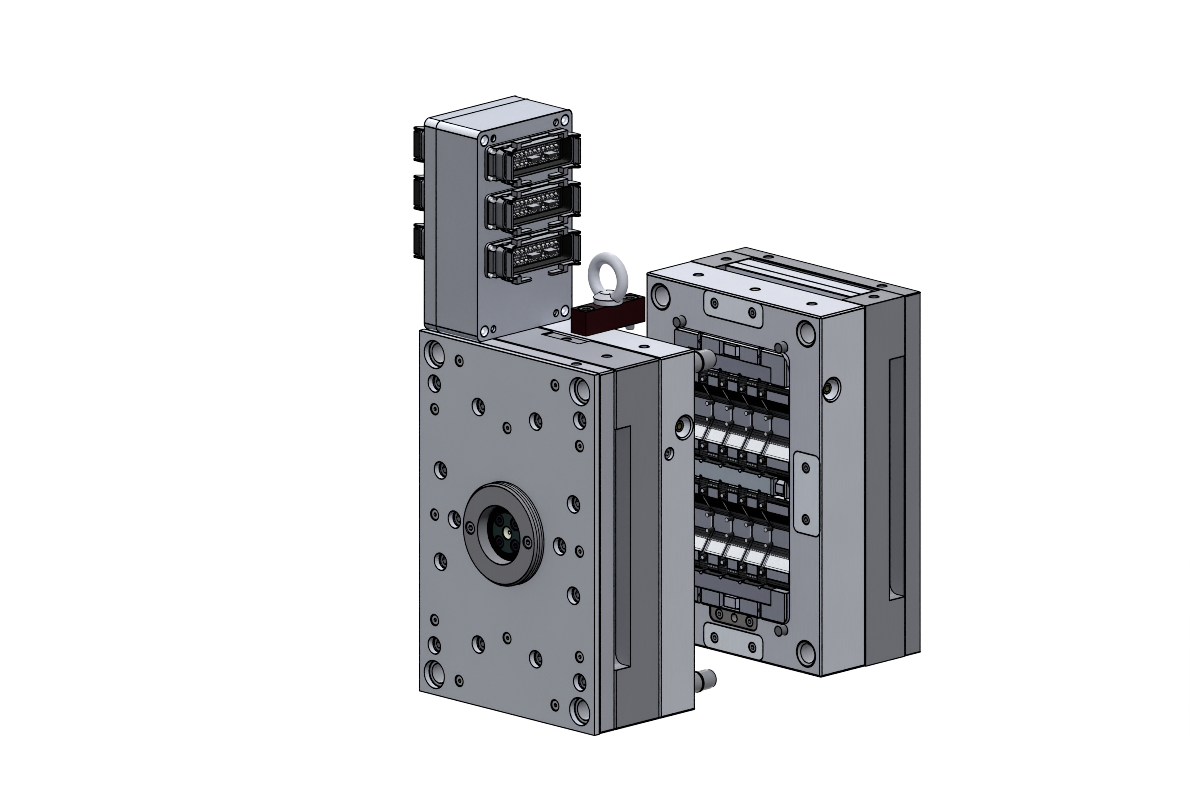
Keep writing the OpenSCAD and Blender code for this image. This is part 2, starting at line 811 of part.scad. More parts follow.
module cavity_plate() {
    color("lightsteelblue") difference() {
        plate(plate_w, y_cavity, cavity_t, plate_h, plate_bevel);
        round_block(insert_w + 2 * seat_gap, insert_h + 2 * seat_gap, insert_r, y_parting - cavity_seat,
            y_parting + cut);
        at_nozzles() rod_y(0, 0, y_cavity - cut, y_parting, nozzle_seat_d + 2 * seat_gap);
        at_guides() {
            rod_y(0, 0, y_cavity - cut, y_parting + cut, shoulder_d + 2 * seat_gap);
            rod_y(0, 0, y_cavity - cut, y_cavity + guide_head_t, shoulder_d + 2 * guide_head_out + cut);
        }
        at4(return_x, return_z) rod_y(0, 0, y_parting - eject_rest - relief_room, y_parting + cut,
            return_d + 2 * free_gap);
        at4(long_screw_x, long_screw_z) tapped_y(0, 0, y_cavity - cut, m12, thread_len + cut + head_room);
        at_insert_screws() {
            sunk_y(0, 0, y_cavity, m8, m8[2] + head_room);
            rod_y(0, 0, y_cavity, y_parting, m8[0] + 2 * free_gap);
        }
        cooling_port(y_parting - port_behind_parting);
        rod_x(y_parting - side_screw_y, side_screw_z, half_w - side_bore_depth, half_w + cut, side_bore_d);
        rod_x(y_parting - side_screw_y, side_screw_z, half_w - side_bore_depth - insert_screw_len,
            half_w, m8[0] + 2 * thread_gap);
        top_hole(top_hole_x, y_cavity + cavity_hole_y, top_hole_depth);
        rod_z(0, y_parting - lift_screw_y, half_h - thread_len, half_h + cut, m12[0] + 2 * thread_gap);
        foot_holes(box_y0 + box_foot_y[1]);
    }
}

// Front outline of one cavity row in Z and Y: trough, ridges and outer grooves, cut from the core insert
module row_outline() {
    top = y_core - insert_proud - cut;
    ridge = y_core - ridge_proud;
    land = y_core - ridge_proud + groove_land;
    deep = land + groove_depth;
    half = [
        [row_edge, top], [row_edge, deep], [row_edge - groove_w, land], [ridge_edge, land],
        [ridge_edge, ridge], [trough_mouth, ridge], [trough_floor, y_core + trough_depth]
    ];
    polygon([
        for (p = half) [p[1], p[0]],
        for (i = [len(half) - 1 : -1 : 0]) [half[i][1], -half[i][0]]
    ]);
}

// The rib of the cavity insert that fills a row's trough when the mould is closed
module rib_outline() {
    base = y_parting - insert_proud - 2 * mate_gap;
    ridge = y_parting - ridge_proud - mate_gap;
    floor_y = y_parting + trough_depth - mate_gap;
    edge = row_edge - mate_gap;
    polygon([
        [base, -edge], [ridge, -edge], [ridge, mate_gap - trough_mouth], [floor_y, mate_gap - trough_floor],
        [floor_y, trough_floor - mate_gap], [ridge, trough_mouth - mate_gap], [ridge, edge], [base, edge]
    ]);
}

module cavity_insert() {
    color("slategray") difference() {
        union() {
            round_block(insert_w, insert_h, insert_r, y_parting - cavity_seat,
                y_parting - insert_proud - mate_gap);
            for (row = [-1, 1]) translate([0, 0, row * row_z]) across(insert_w - insert_bevel) rib_outline();
        }
        at_nozzles() rod_y(0, 0, y_parting - cavity_seat - cut,
            y_parting + trough_depth - mate_gap - nozzle_tip_back, nozzle_tip_d + 2 * seat_gap);
        at_nozzles() rod_y(0, 0, y_parting, y_parting + trough_depth + cut, gate_d);
        at_insert_screws() tapped_y(0, 0, y_parting - cavity_seat - cut, m8, insert_thread_len);
        rod_x(y_parting - port_behind_parting, port_z, -insert_half_w / 2, insert_half_w + cut, port_hole_d);
        at_pins(pin_ridge) rod_y(0, 0, y_parting - eject_rest - relief_room, y_parting + cut,
            pin_d + 2 * relief_gap);
        at_pins(pin_floor) rod_y(0, 0, y_parting + trough_depth - eject_rest - relief_room,
            y_parting + trough_depth + cut, pin_d + 2 * relief_gap);
    }
}

module cavity_insert_screws() {
    color("silver") {
        at_insert_screws() screw_y(0, 0, y_cavity + head_room, m8, insert_screw_len);
        screw_left(y_parting - side_screw_y, side_screw_z, half_w - side_bore_depth + m8[2], m8,
            insert_screw_len - cut);
    }
}

module guide_pillars() {
    color("silver") at_guides() difference() {
        union() {
            rod_y(0, 0, y_cavity + end_gap, y_cavity + guide_head_t, shoulder_d + 2 * guide_head_out);
            rod_y(0, 0, y_cavity + end_gap, y_parting, shoulder_d);
            rod_y(0, 0, y_parting - cut, y_parting + guide_len - guide_tip, guide_d);
            translate([0, y_parting + guide_len - guide_tip, 0]) rotate([-90, 0, 0])
                cylinder(h = guide_tip, d1 = guide_d, d2 = guide_d - 2 * guide_tip_in);
        }
        translate([0, y_parting + guide_len / 2, 0]) rotate([-90, 0, 0]) rotate_extrude()
            translate([guide_d / 2 - oil_groove_depth, 0]) square([oil_groove_depth + cut, oil_groove_w]);
    }
}

module centring_sleeves() {
    color("silver") at_guides() difference() {
        rod_y(0, 0, y_clamp + end_gap, y_cavity - sleeve_back, shoulder_d);
        rod_y(0, 0, 0, y_cavity, shoulder_d - 2 * sleeve_wall);
    }
}

module water_plug(y) {
    x0 = half_w - port_depth;
    color("darkolivegreen") difference() {
        union() {
            translate([x0, y, port_z]) rotate([0, 90, 0])
                cylinder(h = plug_t, d = across_corners(plug_hex), $fn = 6);
            rod_x(y, port_z, x0, x0 + plug_pipe_len, plug_pipe_d);
        }
        rod_x(y, port_z, x0 - cut, x0 + plug_pipe_len + cut, plug_pipe_d - 2 * plug_pipe_wall);
    }
}
module water_plug_fixed() {
    water_plug(y_parting - port_behind_parting);
}
module water_plug_moving() {
    water_plug(y_core + port_behind_parting);
}

// Junction box

// Centre of connector row k, from the lowest up
function connector_at(k) = half_h + connector_z + k * connector_pitch;
// Connector place for the right side, mirrored to the left when side is -1
module at_connector(side, k) {
    translate([box_mid_x, box_mid_y + connector_shift, connector_at(k)]) mirror([side < 0 ? 1 : 0, 0, 0])
        translate([box_w / 2, 0, 0]) children();
}
module at_connectors() {
    for (side = [-1, 1], k = [-1 : 1]) at_connector(side, k) children();
}
module at_box_corners() {
    for (sy = [-1, 1], sz = [-1, 1]) translate([0, box_mid_y + sy * (box_l / 2 - box_corner),
        half_h + box_h / 2 + sz * (box_h / 2 - box_corner)]) children();
}
module box_shell(x0, x1, inset) {
    translate([0, box_mid_y, half_h + box_h / 2])
        round_block_x(box_l - 2 * inset, box_h - 2 * inset, box_r - inset / 2, x0, x1);
}
module box_hollow(x0, x1) {
    difference() {
        box_shell(x0, x1, box_wall);
        at_box_corners() translate([(x0 + x1) / 2, 0, 0]) cube([x1 - x0 + 2, boss, boss], center = true);
    }
}
module connector_windows() {
    at_connectors() round_block_x(window_l, window_h, contact_r,
        lid_hollow - lid_t - cut, cut);
}
module at_flange_screws() {
    for (sy = [-1, 1], sz = [-1, 1]) translate([0, sy * (flange_l / 2 - flange_screw_in),
        sz * (flange_h / 2 - flange_screw_in)]) children();
}
module flange_screw_holes() {
    at_connectors() at_flange_screws() rod_x(0, 0, lid_hollow - lid_t, flange_t + cut,
        m3[0] + 2 * thread_gap);
}

module junction_box() {
    foot = half_h + box_wall;
    color("slategray") difference() {
        box_shell(box_split, box_x1, 0);
        box_hollow(box_split - cut, box_x1 - box_wall);
        connector_windows();
        at_box_corners() {
            rod_x(0, 0, box_split - cut, box_x1 + cut, m6[0] + 2 * free_gap);
            rod_x(0, 0, box_x1 - corner_hole_depth, box_x1 + cut, corner_hole_d);
        }
        for (sy = [-1, 1], sz = [-1, 1]) rod_x(box_mid_y + sy * (box_l / 2 - vent_in),
            half_h + box_h / 2 + sz * (box_h / 2 - box_corner), box_x1 - box_wall - cut, box_x1 + cut,
            vent_d);
        for (in = box_foot_in, y = box_foot_y) rod_z(box_x1 - in, box_y0 + y, half_h - cut,
            foot + cut, m6[0] + 2 * free_gap);
        flange_screw_holes();
        box(wire_port_x - wire_port_w / 2, wire_port_x + wire_port_w / 2, wire_port_y - wire_port_t / 2,
            wire_port_y + wire_port_t / 2, half_h - cut, foot + cut);
    }
}

module junction_box_lid() {
    color("slategray") difference() {
        box_shell(box_x0, box_split, 0);
        box_hollow(box_split - lid_hollow, box_split + cut);
        connector_windows();
        flange_screw_holes();
        at_box_corners() rod_x(0, 0, box_split - lid_hollow, box_split + cut, m6[0] + 2 * thread_gap);
    }
}

module box_screws() {
    lid_screw = box_w - lid_t - corner_hole_depth + lid_hollow - 2 * cut;
    color("silver") {
        at_box_corners() screw_left(0, 0, box_x1 - corner_hole_depth + m6[2], m6, lid_screw);
        for (in = box_foot_in, y = box_foot_y) screw_down(box_x1 - in, box_y0 + y,
            half_h + box_wall + m6[2], m6, foot_screw_len + box_wall - 2 * cut);
        at_connectors() at_flange_screws()
            screw_left(0, 0, flange_t + m3[2], m3, flange_t + box_wall - free_gap);
    }
}

module connector_housing() {
    collar_l = flange_l - 2 * collar_short;
    base_l = flange_l - 2 * base_short;
    difference() {
        union() {
            round_block_x(flange_l, flange_h, collar_r, 0, flange_t);
            difference() {
                round_block_x(base_l, flange_h - base_short, collar_r, 0, base_out);
                at_flange_screws() rod_x(0, 0, flange_t, base_out + cut, 2 * flange_screw_in);
            }
            round_block_x(collar_l, collar_h, collar_r, 0, collar_out);
            for (s = [-1, 1]) translate([pivot_out, s * (flange_l / 2 - pivot_in), 0]) {
                cylinder(h = collar_h + 2 * arm_gap + 2 * arm_t + 2 * arm_gap, d = pivot_d, center = true);
                for (sz = [-1, 1])
                    translate([0, 0, sz * (collar_h / 2 + arm_t + 2 * arm_gap + pivot_cap / 2)])
                    cylinder(h = pivot_cap, d = pivot_boss_d, center = true);
            }
        }
        round_block_x(collar_l - 2 * collar_wall, collar_h - 2 * collar_wall, collar_inner_r, -cut,
            collar_out + cut);
        at_flange_screws() rod_x(0, 0, -cut, flange_t + cut, m3[0] + 2 * thread_gap);
    }
}

module connector_housings() {
    color("darkslategray") at_connectors() connector_housing();
}

module contact_inserts() {
    block_l = flange_l - 2 * collar_short - 2 * collar_wall;
    block_h = collar_h - 2 * collar_wall;
    color("gainsboro") at_connectors() {
        round_block_x(block_l - 2 * seat_gap, block_h - 2 * seat_gap, collar_inner_r, 0, contact_back);
        round_block_x(block_l - 2 * contact_in, contact_h, contact_r, contact_back - cut, contact_top);
        for (i = [0 : contact_cols - 1], z = contact_rows)
            rod_x((i - (contact_cols - 1) / 2) * contact_pitch, z, contact_back, contact_top + contact_len,
                contact_d);
    }
}

// Round-nosed hook of a lever, drawn from its root to its nose
module hook_outline() {
    nose = hook_w / 2;
    translate([hook_in + nose, nose - hook_reach]) circle(nose);
    translate([hook_in, nose - hook_reach]) square([hook_w, hook_reach - nose - hook_start]);
}
// One locking lever, with its pivot at the origin, its handle towards +Y and its two hooks towards -Y
module lever_shape() {
    inner = collar_h / 2 + arm_gap;
    outer = inner + arm_t + hook_out;
    hook_root = -2 * hook_start;
    color("darkslategray") difference() {
        union() {
            for (s = [-1, 1]) {
                translate([0, 0, s * (inner + arm_t / 2)]) linear_extrude(arm_t, center = true) {
                    circle(arm_r);
                    polygon([[-arm_r * 0.6, arm_r * 0.8], [0, -arm_r], [hook_in, hook_root],
                        [hook_in + hook_w, hook_root], [hook_in + hook_w, 0], [handle_u1, handle_v0],
                        [handle_u1, handle_v1], [handle_u0 - 2, handle_v1]]);
                }
                translate([0, 0, s * (outer - hook_t / 2)]) linear_extrude(hook_t, center = true)
                    hook_outline();
                translate([0, 0, s * (inner + outer) / 2]) linear_extrude(outer - inner, center = true)
                    translate([hook_in, hook_root]) square([hook_w, hook_start]);
            }
            box(handle_u0, handle_u0 + handle_step, handle_v0, handle_v1, -inner - arm_t, inner + arm_t);
            box(handle_u0, handle_u1, handle_v0, handle_v1, -handle_half_h, handle_half_h);
        }
        cylinder(h = 2 * (inner + arm_t + cut), d = pivot_d + 2 * running_gap, center = true);
    }
}
// side 1 is right and -1 left, k counts the connectors from the middle, near is -1 and far 1
module lever(side, k, end) {
    at_connector(side, k) translate([pivot_out, end * (flange_l / 2 - pivot_in), 0])
        mirror([0, end < 0 ? 1 : 0, 0]) lever_shape();
}
module lever_right_top_near() { lever(1, 1, -1); }
module lever_right_top_far() { lever(1, 1, 1); }
module lever_right_mid_near() { lever(1, 0, -1); }
module lever_right_mid_far() { lever(1, 0, 1); }
module lever_right_low_near() { lever(1, -1, -1); }
module lever_right_low_far() { lever(1, -1, 1); }
module lever_left_top_near() { lever(-1, 1, -1); }
module lever_left_top_far() { lever(-1, 1, 1); }
module lever_left_mid_near() { lever(-1, 0, -1); }
module lever_left_mid_far() { lever(-1, 0, 1); }
module lever_left_low_near() { lever(-1, -1, -1); }
module lever_left_low_far() { lever(-1, -1, 1); }

// Lifting gear

module lifting_bar() {
    y0 = y_parting - lift_l / 2;
    y1 = y_parting + lift_l / 2;
    z1 = half_h + lift_h;
    color("maroon") difference() {
        box(-lift_w / 2, lift_w / 2, y0, y1, half_h, z1);
        box(-lift_w, lift_w, y_parting, y1 + cut, half_h - cut, half_h + lift_relief);
        for (s = [-1, 1]) {
            rod_z(0, y_parting + s * lift_screw_y, half_h - cut, z1 + cut, m12[0] + 2 * free_gap);
            rod_z(0, y_parting + s * lift_screw_y, z1 - m12[2] - head_room, z1 + cut, m12[1] + 2 * head_gap);
        }
        rod_z(0, y_parting, z1 - eye_thread_len - cut, z1 + cut, eye_thread_d + 2 * thread_gap);
    }
}

module lifting_bar_screws() {
    top = half_h + lift_h - head_room;
    color("silver") {
        screw_down(0, y_parting - lift_screw_y, top, m12, lift_h - head_room - m12[2] + thread_len - cut);
        screw_down(0, y_parting + lift_screw_y, top, m12, lift_h - head_room - m12[2] - lift_overhang_gap);
    }
}

module eye_bolt() {
    z1 = half_h + lift_h;
    ring_r = (eye_d - eye_t) / 2;
    color("gainsboro") {
        rod_z(0, y_parting, z1 - eye_thread_len, z1, eye_thread_d);
        difference() {
            translate([0, y_parting, 0]) union() {
                translate([0, 0, z1]) cylinder(h = eye_collar_t, d = eye_collar_d);
                translate([0, 0, z1 + eye_collar_t])
                    cylinder(h = eye_collar_h - eye_collar_t, d1 = eye_collar_d, d2 = eye_neck_d);
                translate([0, 0, z1 + eye_centre]) rotate([90, 0, 0]) rotate_extrude()
                    translate([ring_r, 0]) circle(d = eye_t);
            }
            rod_z(0, y_parting, z1 - lift_h / 2, z1, eye_d);
        }
    }
}

// Moving half

module core_plate() {
    color("lightsteelblue") difference() {
        plate(plate_w, y_core, core_t, plate_h, plate_bevel);
        round_block(insert_w + 2 * seat_gap, insert_h + 2 * seat_gap, insert_r, y_core - cut,
            y_core + core_seat);
        at_guides() {
            rod_y(0, 0, y_core - cut, y_core + bush_len, shoulder_d + 2 * seat_gap);
            rod_y(0, 0, y_core, y_riser + cut, dowel_d + 2 * seat_gap);
        }
        at4(return_x, return_z) rod_y(0, 0, y_core - cut, y_riser + cut, return_d + 2 * running_gap);
        for (z = [pin_ridge, pin_floor]) at_pins(z) rod_y(0, 0, y_core, y_riser + cut, pin_d + 2 * free_gap);
        at_moving_screws() tapped_y(0, 0, y_riser - thread_len - head_room, m12, thread_len + 2 * head_room);
        at_insert_screws() {
            rod_y(0, 0, y_riser - m8[2] - head_room, y_riser + cut, m8[1] + 2 * head_gap);
            rod_y(0, 0, y_core, y_riser, m8[0] + 2 * free_gap);
        }
        pads(seat_gap);
        key_body(seat_gap, y_core - cut, key_gap + cut);
        at_key_screws() tapped_y(0, 0, y_core, m6, key_t + pad_screw_len);
        at_pad_screws() tapped_y(0, 0, y_core, m6, pad_screw_len + m6[2] + cut);
        cooling_port(y_core + port_behind_parting);
        for (x = [0, top_hole_x, -top_hole_x]) top_hole(x, y_core + lift_screw_y, top_hole_depth);
    }
}

// Pad outlines, grown by g
module end_pad(g) {
    h = half_h - plate_bevel - pad_in_z;
    translate([0, 0, pad_in_z + h / 2]) round_block(2 * pad_half_w + 2 * g, h + 2 * g, pad_r,
        y_core - (g > 0 ? cut : 0), y_core + pad_t);
}
module side_pad(g) {
    w = half_w - plate_bevel - side_pad_in_x;
    translate([side_pad_in_x + w / 2, 0, 0]) round_block(w + 2 * g, 2 * side_pad_half_h + 2 * g, pad_r,
        y_core - (g > 0 ? cut : 0), y_core + pad_t);
}
module pads(g) {
    end_pad(g);
    mirror([0, 0, 1]) end_pad(g);
    side_pad(g);
    mirror([1, 0, 0]) side_pad(g);
}
module at_pad_screws() {
    at4(pad_screw_x, pad_screw_z) children();
    at4(side_pad_screw_x, side_pad_screw_z) children();
}

module parting_pads() {
    color("silver") difference() {
        pads(0);
        at_pad_screws() {
            sunk_y(0, 0, y_core, m6, m6[2] + low_head_room);
            rod_y(0, 0, y_core, y_core + pad_t + cut, m6[0] + 2 * free_gap);
        }
    }
}

// Key plate grown by g, with its front at y0, and its top raised by up so that its seat meets the insert's
module key_body(g, y0, up) {
    translate([0, 0, key_z]) {
        round_block(key_w + 2 * g, key_h + 2 * g, pad_r, y0, y_core + key_t);
        box(-key_w / 2 - g, key_w / 2 + g, y0, y_core + key_t, 0, key_h / 2 + up);
    }
}
module at_key_screws() {
    for (s = [-1, 1]) translate([s * key_screw_x, 0, key_z]) children();
}

module key_plate() {
    color("dimgray") difference() {
        key_body(0, y_core + key_drop, 0);
        at_key_screws() {
            sunk_y(0, 0, y_core + key_drop, m6, m6[2] + low_head_room);
            rod_y(0, 0, y_core, y_core + key_t + cut, m6[0] + 2 * free_gap);
        }
        rod_y(0, key_z, y_core, y_core + key_t + cut, key_hole_d);
    }
}

module core_face_screws() {
    color("silver") {
        at_pad_screws() screw_y(0, 0, y_core + low_head_room, m6, pad_screw_len);
        at_key_screws() screw_y(0, 0, y_core + key_drop + low_head_room, m6, pad_screw_len);
        at4(end_slot_x, end_slot_z)
            screw_y(0, 0, y_core - insert_proud + end_slot_depth - m3[2], m3, 2 * m3[2]);
    }
}

module guide_bushes() {
    color("gainsboro") at_guides() difference() {
        rod_y(0, 0, y_core, y_core + bush_len, shoulder_d);
        rod_y(0, 0, y_core - cut, y_core + bush_len + cut, guide_d + 2 * running_gap);
        translate([0, y_core, 0]) rotate([-90, 0, 0])
            cylinder(h = bush_lead, d1 = shoulder_d - 2, d2 = guide_d + 2 * running_gap);
    }
}

module dowel_sleeves() {
    color("silver") at_guides() for (y = [y_riser, y_moving_clamp]) difference() {
        rod_y(0, 0, y - dowel_len / 2, y + dowel_len / 2, dowel_d);
        rod_y(0, 0, y - dowel_len, y + dowel_len, dowel_d - 2 * sleeve_wall);
    }
}

// The core insert's block with its front edges bevelled
module core_blank() {
    y0 = y_core - insert_proud;
    y1 = y_core + core_seat;
    intersection() {
        round_block(insert_w, insert_h, insert_r, y0, y1);
        across(insert_w) polygon([
            [y0, insert_bevel - insert_half_h], [y0 + insert_bevel, -insert_half_h], [y1, -insert_half_h],
            [y1, insert_half_h], [y0 + insert_bevel, insert_half_h], [y0, insert_half_h - insert_bevel]
        ]);
        translate([0, 0, -insert_half_h]) linear_extrude(insert_h) polygon([
            [insert_bevel - insert_half_w, y0], [-insert_half_w, y0 + insert_bevel], [-insert_half_w, y1],
            [insert_half_w, y1], [insert_half_w, y0 + insert_bevel], [insert_half_w - insert_bevel, y0]
        ]);
    }
}

// Bars as [lower edge, upper edge]
bar_edges = [
    [row_outer, row_outer + bar_h],
    [-row_inner, row_inner],
    [-row_outer - bar_h, -row_outer]
];
module bar_blocks(g, y0) {
    for (e = bar_edges) box(-bar_half_l - g, bar_half_l + g, y0, y_core - insert_proud + bar_depth + g,
        e[0] - (g > 0 ? g : 0), e[1] + (g > 0 ? g : 0));
}

module at_end_locks() {
    for (s = [-1, 1]) translate([0, 0, s * (insert_half_h - insert_bevel - lock_h / 2)]) children();
}
module at_side_locks() {
    for (s = [-1, 1]) translate([s * (insert_half_w - insert_bevel - lock_h / 2), 0, 0])
        rotate([0, 90, 0]) children();
}
module lock_recess() {
    box(-lock_w / 2, lock_w / 2, y_core - insert_proud - cut, y_core, -lock_h / 2, lock_h / 2);
}

module slope_groove(side) {
    run = trough_mouth - trough_floor;
    rise = trough_depth + ridge_proud;
    length = sqrt(run * run + rise * rise);
    tilt = atan2(rise, run);
    translate([0, y_core - ridge_proud, side * trough_mouth]) rotate([side * tilt, 0, 0])
        translate([-slope_groove_w / 2, -slope_groove_depth, -cut - (side > 0 ? length : 0)])
            cube([slope_groove_w, 2 * slope_groove_depth, length + 2 * cut]);
}

module core_insert() {
    color("slategray") difference() {
        core_blank();
        for (row = [-1, 1]) translate([0, 0, row * row_z]) {
            across(insert_w + 2 * cut) row_outline();
            at_cavity_columns() {
                for (side = [-1, 1]) {
                    box(-cavity_w / 2, cavity_w / 2, y_core - insert_proud - cut, y_core + cavity_depth,
                        side > 0 ? trough_mouth : -row_edge, side > 0 ? row_edge : -trough_mouth);
                    slope_groove(side);
                }
                box(-seam_w / 2, seam_w / 2, y_core, y_core + trough_depth + seam_depth,
                    -pin_floor, pin_floor);
            }
        }
        bar_blocks(seat_gap, y_core - insert_proud - cut);
        at_end_locks() lock_recess();
        at_side_locks() lock_recess();
        at4(end_slot_x, end_slot_z) {
            box(-end_slot_w / 2, end_slot_w / 2, y_core - insert_proud - cut,
                y_core - insert_proud + end_slot_depth, -end_slot_h / 2, end_slot_h / 2);
            tapped_y(0, 0, y_core - insert_proud, m3, end_slot_depth + 2 * m3[2] + cut);
        }
        for (z = [pin_ridge, pin_floor]) at_pins(z)
            rod_y(0, 0, y_core - insert_proud, y_core + core_seat + cut, pin_d + 2 * running_gap);
        at_insert_screws()
            tapped_y(0, 0, y_core + core_seat - insert_thread_len, m8, insert_thread_len + cut);
        rod_x(y_core + port_behind_parting, port_z, insert_half_w / 2, insert_half_w + cut, port_hole_d);
    }
}

// Core blades and posts that shape the inside of each moulding
module cavity_cores() {
    z0 = trough_mouth + core_in;
    z1 = ridge_edge - core_in;
    floor_y = y_core + cavity_depth;
    color("lightgray") for (row = [-1, 1], side = [-1, 1], i = [0 : cavity_count - 1])
        translate([cavity_x(i), 0, row * row_z]) mirror([0, 0, side < 0 ? 1 : 0]) {
            box(-core_w / 2, core_w / 2, y_core, floor_y, ridge_edge + core_in, row_edge - 2 * core_in);
            for (s = [-1, 1], z = [z0 + core_post_d, z1 - core_post_d])
                rod_y(s * core_post_x, z, y_core - ridge_proud + core_drop, floor_y, core_post_d);
        }
}

module parting_bars() {
    y0 = y_core - insert_proud + bar_drop;
    color("lightslategray") difference() {
        bar_blocks(0, y0);
        for (e = [row_outer, row_inner, -row_inner, -row_outer]) at_cavity_columns()
            rod_y(0, e, y0 - cut, y0 + bar_notch_depth, bar_notch_d);
    }
}

// Tapered block that lines the two halves up as they meet, w wide at its foot
module taper_lock(w) {
    tip = w / 2 - lock_taper;
    front = y_core - insert_proud + mate_gap;
    translate([0, 0, -lock_block_h / 2]) linear_extrude(lock_block_h)
        polygon([[-w / 2, y_core], [w / 2, y_core], [tip, front], [-tip, front]]);
}
module taper_locks() {
    color("gainsboro") {
        at_end_locks() taper_lock(lock_block_w);
        at_side_locks() taper_lock(2 * (row_inner - lock_side_gap));
    }
}

module riser_blank() {
    difference() {
        box(riser_inner, half_w, y_riser, y_moving_clamp, -half_h, half_h);
        clamp_slots(y_moving_clamp - slot_w, y_moving_clamp + cut);
        for (s = [-1, 1]) {
            for (p = moving_xz) rod_y(p[0], s * p[1], y_riser - cut, y_moving_clamp + cut,
                m12[0] + 2 * free_gap);
            rod_y(guide_x, s * guide_z, y_riser - cut, y_riser + dowel_len / 2, dowel_d + 2 * seat_gap);
            rod_y(guide_x, s * guide_z, y_moving_clamp - dowel_len / 2, y_moving_clamp + cut,
                dowel_d + 2 * seat_gap);
        }
        top_hole(riser_hole_x, y_riser + riser_hole_y, top_hole_depth);
    }
}
module right_riser() {
    color("dimgray") riser_blank();
}
module left_riser() {
    color("dimgray") mirror([1, 0, 0]) riser_blank();
}

module moving_clamp_plate() {
    color("gray") difference() {
        plate(plate_w, y_moving_clamp, moving_clamp_t, plate_h, plate_bevel / 2);
        rod_y(0, 0, y_moving_clamp - cut, y_back + cut, rod_bore_d);
        at_moving_screws() {
            rod_y(0, 0, y_moving_clamp - cut, y_back + cut, m12[0] + 2 * free_gap);
            rod_y(0, 0, y_back - m12[2] - head_room, y_back + cut, m12[1] + 2 * head_gap);
        }
        at_guides()
            rod_y(0, 0, y_moving_clamp - cut, y_moving_clamp + dowel_len / 2, dowel_d + 2 * seat_gap);
        for (s = [-1, 1]) top_hole(s * top_hole_x, y_moving_clamp + moving_clamp_t / 2, top_hole_depth);
    }
}

module moving_screws() {
    color("silver") {
        at_moving_screws() screw_back(0, 0, y_back - head_room, m12,
            y_back - head_room - m12[2] - y_riser + thread_len);
        at_insert_screws() screw_back(0, 0, y_riser - head_room, m8,
            core_t - core_seat - m8[2] - head_room + insert_thread_len - 2 * cut);
    }
}

module support_pillars() {
    color("silver") at_pillars() rod_y(0, 0, y_riser, y_moving_clamp, pillar_d);
}

// Ejection

module ejector_blank(y0, t) {
    w = 2 * (riser_inner - ejector_side_gap);
    difference() {
        plate(w, y0, t, plate_h, plate_bevel / 4);
        at_pillars() rod_y(0, 0, y0 - cut, y0 + t + cut, pillar_d + 4 * free_gap);
    }
}

module ejector_retainer_plate() {
    color("silver") difference() {
        ejector_blank(eject_front, retainer_t);
        at4(return_x, return_z) {
            rod_y(0, 0, eject_front - cut, eject_split + cut, return_d + 2 * seat_gap);
            rod_y(0, 0, eject_split - return_head_t, eject_split + cut, return_head_d + 2 * seat_gap);
        }
        for (z = [pin_ridge, pin_floor]) at_pins(z) {
            rod_y(0, 0, eject_front - cut, eject_split + cut, pin_d + 2 * seat_gap);
            rod_y(0, 0, eject_split - pin_head_t, eject_split + cut, pin_head_d + 2 * seat_gap);
        }
        at_ejector_screws() tapped_y(0, 0, eject_split - retainer_thread_len, m8, retainer_thread_len + cut);
    }
}

module ejector_plate() {
    y1 = eject_split + ejector_t;
    color("silver") difference() {
        ejector_blank(eject_split, ejector_t);
        at_ejector_screws() {
            rod_y(0, 0, eject_split - cut, y1 + cut, m8[0] + 2 * free_gap);
            rod_y(0, 0, y1 - m8[2] - head_room, y1 + cut, m8[1] + 2 * head_gap);
        }
        rod_y(0, 0, eject_split - cut, y1 + cut, rod_thread_d);
    }
}

module ejector_pins() {
    color("gainsboro") for (p = [[pin_ridge, cavity_depth], [pin_floor, trough_depth]]) at_pins(p[0]) {
        rod_y(0, 0, y_core + p[1] - eject_rest, eject_split, pin_d);
        rod_y(0, 0, eject_split - pin_head_t, eject_split, pin_head_d);
    }
}

module return_pins() {
    color("silver") at4(return_x, return_z) {
        rod_y(0, 0, y_core - eject_rest, eject_split, return_d);
        rod_y(0, 0, eject_split - return_head_t, eject_split, return_head_d);
    }
}

module ejector_screws() {
    color("dimgray") at_ejector_screws() screw_back(0, 0, eject_split + ejector_t - head_room, m8,
        ejector_t - m8[2] - head_room + retainer_thread_len - 2 * cut);
}

insulation_plate();
insulation_screws();
fixed_clamp_plate();
clamp_screws();
locating_ring();
ring_screws();
inlet_bush();
nozzle_seat();
manifold_plate();
hot_runner_manifold();
manifold_pads();
hot_nozzles();
wire_channel_cover();
cavity_plate();
cavity_insert();
cavity_insert_screws();
guide_pillars();
centring_sleeves();
water_plug_fixed();
junction_box();
junction_box_lid();
box_screws();
connector_housings();
contact_inserts();
lever_right_top_near();
lever_right_top_far();
lever_right_mid_near();
lever_right_mid_far();
lever_right_low_near();
lever_right_low_far();
lever_left_top_near();
lever_left_top_far();
lever_left_mid_near();
lever_left_mid_far();
lever_left_low_near();
lever_left_low_far();
lifting_bar();
lifting_bar_screws();
eye_bolt();
core_plate();
guide_bushes();
dowel_sleeves();
core_insert();
cavity_cores();
parting_bars();
taper_locks();
parting_pads();
key_plate();
core_face_screws();
water_plug_moving();
left_riser();
right_riser();
moving_clamp_plate();
moving_screws();
support_pillars();
ejector_retainer_plate();
ejector_plate();
ejector_pins();
return_pins();
ejector_screws();
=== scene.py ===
import json
import math

